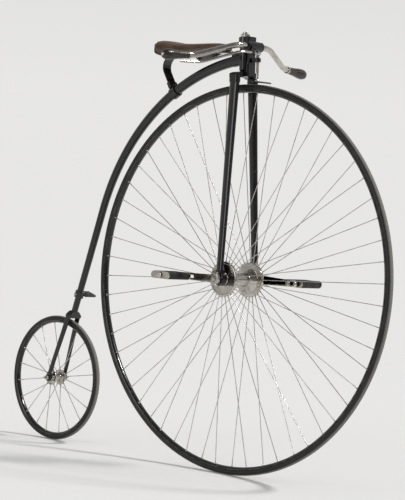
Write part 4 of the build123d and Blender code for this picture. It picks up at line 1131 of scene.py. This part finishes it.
# behind the front axle, width, below the seat and depth of the skirt
LEATHER = np.array([
    (0.1060, 0.0340, 0.0080, 0.0200), (0.1500, 0.0560, 0.0010, 0.0280),
    (0.2300, 0.0960, 0.0005, 0.0460), (0.3100, 0.1860, 0.0010, 0.0540),
    (0.3620, 0.2220, -0.0050, 0.0520), (0.3960, 0.1960, -0.0070, 0.0340),
])
LEATHER_ROWS, LEATHER_SQUARE = 400, 2.7
NOSE_ROLL, TAIL_ROLL = 0.0160, 0.0120
TAIL_NARROW, TAIL_FULL = 0.06, 0.8
TAIL_BOW, BOW_FROM, BOW_SPAN = 0.0160, 0.30, 0.09
SEAT_SAG, SAG_AT, SAG_SPAN = 0.0020, 0.27, 0.06
leather_table = smooth_line(LEATHER, LEATHER_ROWS).T


def saddle_skin(along, turn, inset=0.0):
    """The saddle's outside, drawn in by an inset. Along runs from 0 at the nose to 1 at the
    cantle, and turn from -90 to 90 degrees over the arch. Each arch is a superellipse of the
    width and depth there. Over the rolls at both ends the depth falls off as the sine of a
    quarter turn, at the nose the width does too, and the cantle bows back in its middle."""
    low, high = LEATHER[0, 0] + inset, LEATHER[-1, 0] - inset
    back = low + (high - low) * along
    width, below, depth = (np.interp(back, leather_table[0], row) for row in leather_table[1:])
    nose, tail = (back - low) / NOSE_ROLL, (high - back) / TAIL_ROLL
    nose, tail = (np.sqrt(1 - (1 - np.clip(share, 0, 1)) ** 2) for share in (nose, tail))
    half = (width / 2 - inset) * nose * (1 - TAIL_NARROW + TAIL_NARROW * tail)
    power = 2 / LEATHER_SQUARE
    across = np.sign(np.sin(turn)) * np.abs(np.sin(turn)) ** power
    rise = (depth - inset) * nose * tail**TAIL_FULL * np.abs(np.cos(turn)) ** power
    sag = SEAT_SAG * np.exp(-((back - SAG_AT) / SAG_SPAN) ** 2) * np.cos(turn) ** 2
    bow = TAIL_BOW * np.clip((back - BOW_FROM) / BOW_SPAN, 0, 1) ** 2 * across**2
    return np.stack([
        front_axle[0] - back + bow, half * across,
        front_axle[2] + SEAT_UP - below - depth + rise - sag,
    ], -1)


def skin_piece(name, first, last, inset, wall, finish, node=None, rows=24, columns=41):
    """A stretch of the saddle's skin with a wall on its inner side. Its rows are spaced as a
    cosine, close together in the rolls, and the mark runs from 0 on top to 1 at both edges."""
    share = (1 - np.cos(np.linspace(0, np.pi, rows))) / 2
    turn = np.linspace(-np.pi / 2, np.pi / 2, columns)[None, :]
    skin = saddle_skin((first + (last - first) * share)[:, None], turn, inset)
    mark = np.broadcast_to(np.abs(turn) / (np.pi / 2), skin.shape[:2])
    walled(make_piece(
        name, skin, "frame", finish, node, columns_closed=False, mark=mark,
    ), wall)


frame_enamel = black_enamel("saddle_frame_enamel")
wide, thick = STRAP_WIDE / 2, STRAP_THICK / 2
across, up = rounded(
    [(-wide, -thick), (wide, -thick), (wide, thick), (-wide, thick)], STRAP_EDGE,
).T
back = np.linspace(*STRAP_ENDS, STRAP_ROWS)[:, None]
strap_rings = front_axle + np.stack(
    [0 * up - back, across + 0 * back, STRAP_UP + up + 0 * back], -1,
)
make_piece(
    "saddle_strap", capped(strap_rings), "frame", frame_enamel, "saddle_frame",
)
for name, first, last in (("nose_plate", 0.0, 0.10), ("cantle_plate", 0.90, 1.0)):
    skin_piece(name, first, last, PLATE_UNDER, PLATE_WALL, frame_enamel)
bolt_places = front_axle + [[-back, 0, STRAP_UP] for back in FRAME_BOLT_BACKS]
for name, profile, flats in (
    ("frame_bolts", FRAME_BOLT, None), ("strap_nuts", STRAP_NUT, STRAP_NUT_HALF),
):
    turned_piece(
        name, bolt_places, [0, 0, 1], profile, "frame", turned_steel,
        flats=flats,
    )

# The seat is one thick piece of oak bark leather, wetted and pulled over the frame. It is
# held by copper rivets at the nose and the cantle, with its cut edge rubbed dark.
LEATHER_WALL = 0.0050
RIVET = np.array([(-0.0004, 0), (-0.0004, 0.0062), (0.0004, 0.0062), (0.0011, 0.0052),
                  (0.0018, 0.0034), (0.0021, 0.0014), (0.0021, 0)])
# along, the turns over the arch in degrees and the size
RIVET_ROWS = {
    "nose_rivets": (0.012, (-42, 0, 42), 0.6),
    "cantle_rivets": (0.9835, (-68, -46, -23, 0, 23, 46, 68), 1.0),
}
NEARBY = 1e-4


def saddle_hide(name):
    """Dark brown leather: pebbled grain, long creases, a worn sheen where it is sat on, and
    two tooled lines beside the burnished edge, which the mark on the mesh finds."""
    material, tree, shader = new_finish(name)
    mark = add_node(tree, "Attribute", "Fac", attribute_name="mark")
    edge = between(tree, mark, 0.90, 0.985)
    first = patches(tree, 12.0, 5.0, 0.38, 0.72)
    fine = patches(tree, 85.0, 6.0, 0.50, 0.78)
    colour = blended(tree, first, (0.050, 0.026, 0.014), (0.105, 0.054, 0.028))
    colour = blended(tree, fine, colour, (0.030, 0.016, 0.010))
    wire(tree, shader, {
        "Base Color": blended(tree, edge, colour, (0.012, 0.008, 0.006)),
        "Roughness": between(tree, first, 0.0, 1.0, 0.44, 0.28),
    })
    place = add_node(tree, "TexCoord", "Object")
    grain = add_node(tree, "TexVoronoi", "Distance", {"Vector": place, "Scale": 900.0})
    crease = patches(tree, 26.0, 7.0, 0.47, 0.53, stretch=(0.5, 2.2, 1.0))
    lines = add_node(tree, "Math", "Value", {0: mark, 1: 0.011}, operation="PINGPONG")
    tooled = multiplied(
        tree, between(tree, lines, 0.0, 0.0025, 1.0, 0.0), between(tree, mark, 0.915, 0.92),
    )
    relief(tree, shader, (grain, 0.00011), (crease, 0.00022), (tooled, -0.0004))
    return material


def copper(name):
    """Hammered copper, browned in the hollows."""
    material, tree, shader = new_finish(name)
    brown = patches(tree, 160.0, 4.0, 0.42, 0.66)
    wire(tree, shader, {
        "Base Color": blended(tree, brown, (0.60, 0.30, 0.18), (0.18, 0.09, 0.06)),
        "Metallic": 1.0, "Roughness": 0.35,
    })
    relief(tree, shader, (cloud(tree, 420.0, 2.0), 0.00012))
    return material


skin_piece(
    "saddle_top", 0.0, 1.0, 0.0, LEATHER_WALL,
    saddle_hide("oak_bark_leather"), "saddle_leather", rows=150, columns=97,
)
rivet_copper = copper("rivet_copper")
for name, (along, turns, size) in RIVET_ROWS.items():
    turn = np.radians(turns)
    place = saddle_skin(along, turn)
    beside, behind = saddle_skin(along, turn + NEARBY), saddle_skin(along + NEARBY, turn)
    turned_piece(
        name, place, np.cross(beside - place, behind - place), RIVET * size, "frame",
        rivet_copper, steps=24,
    )
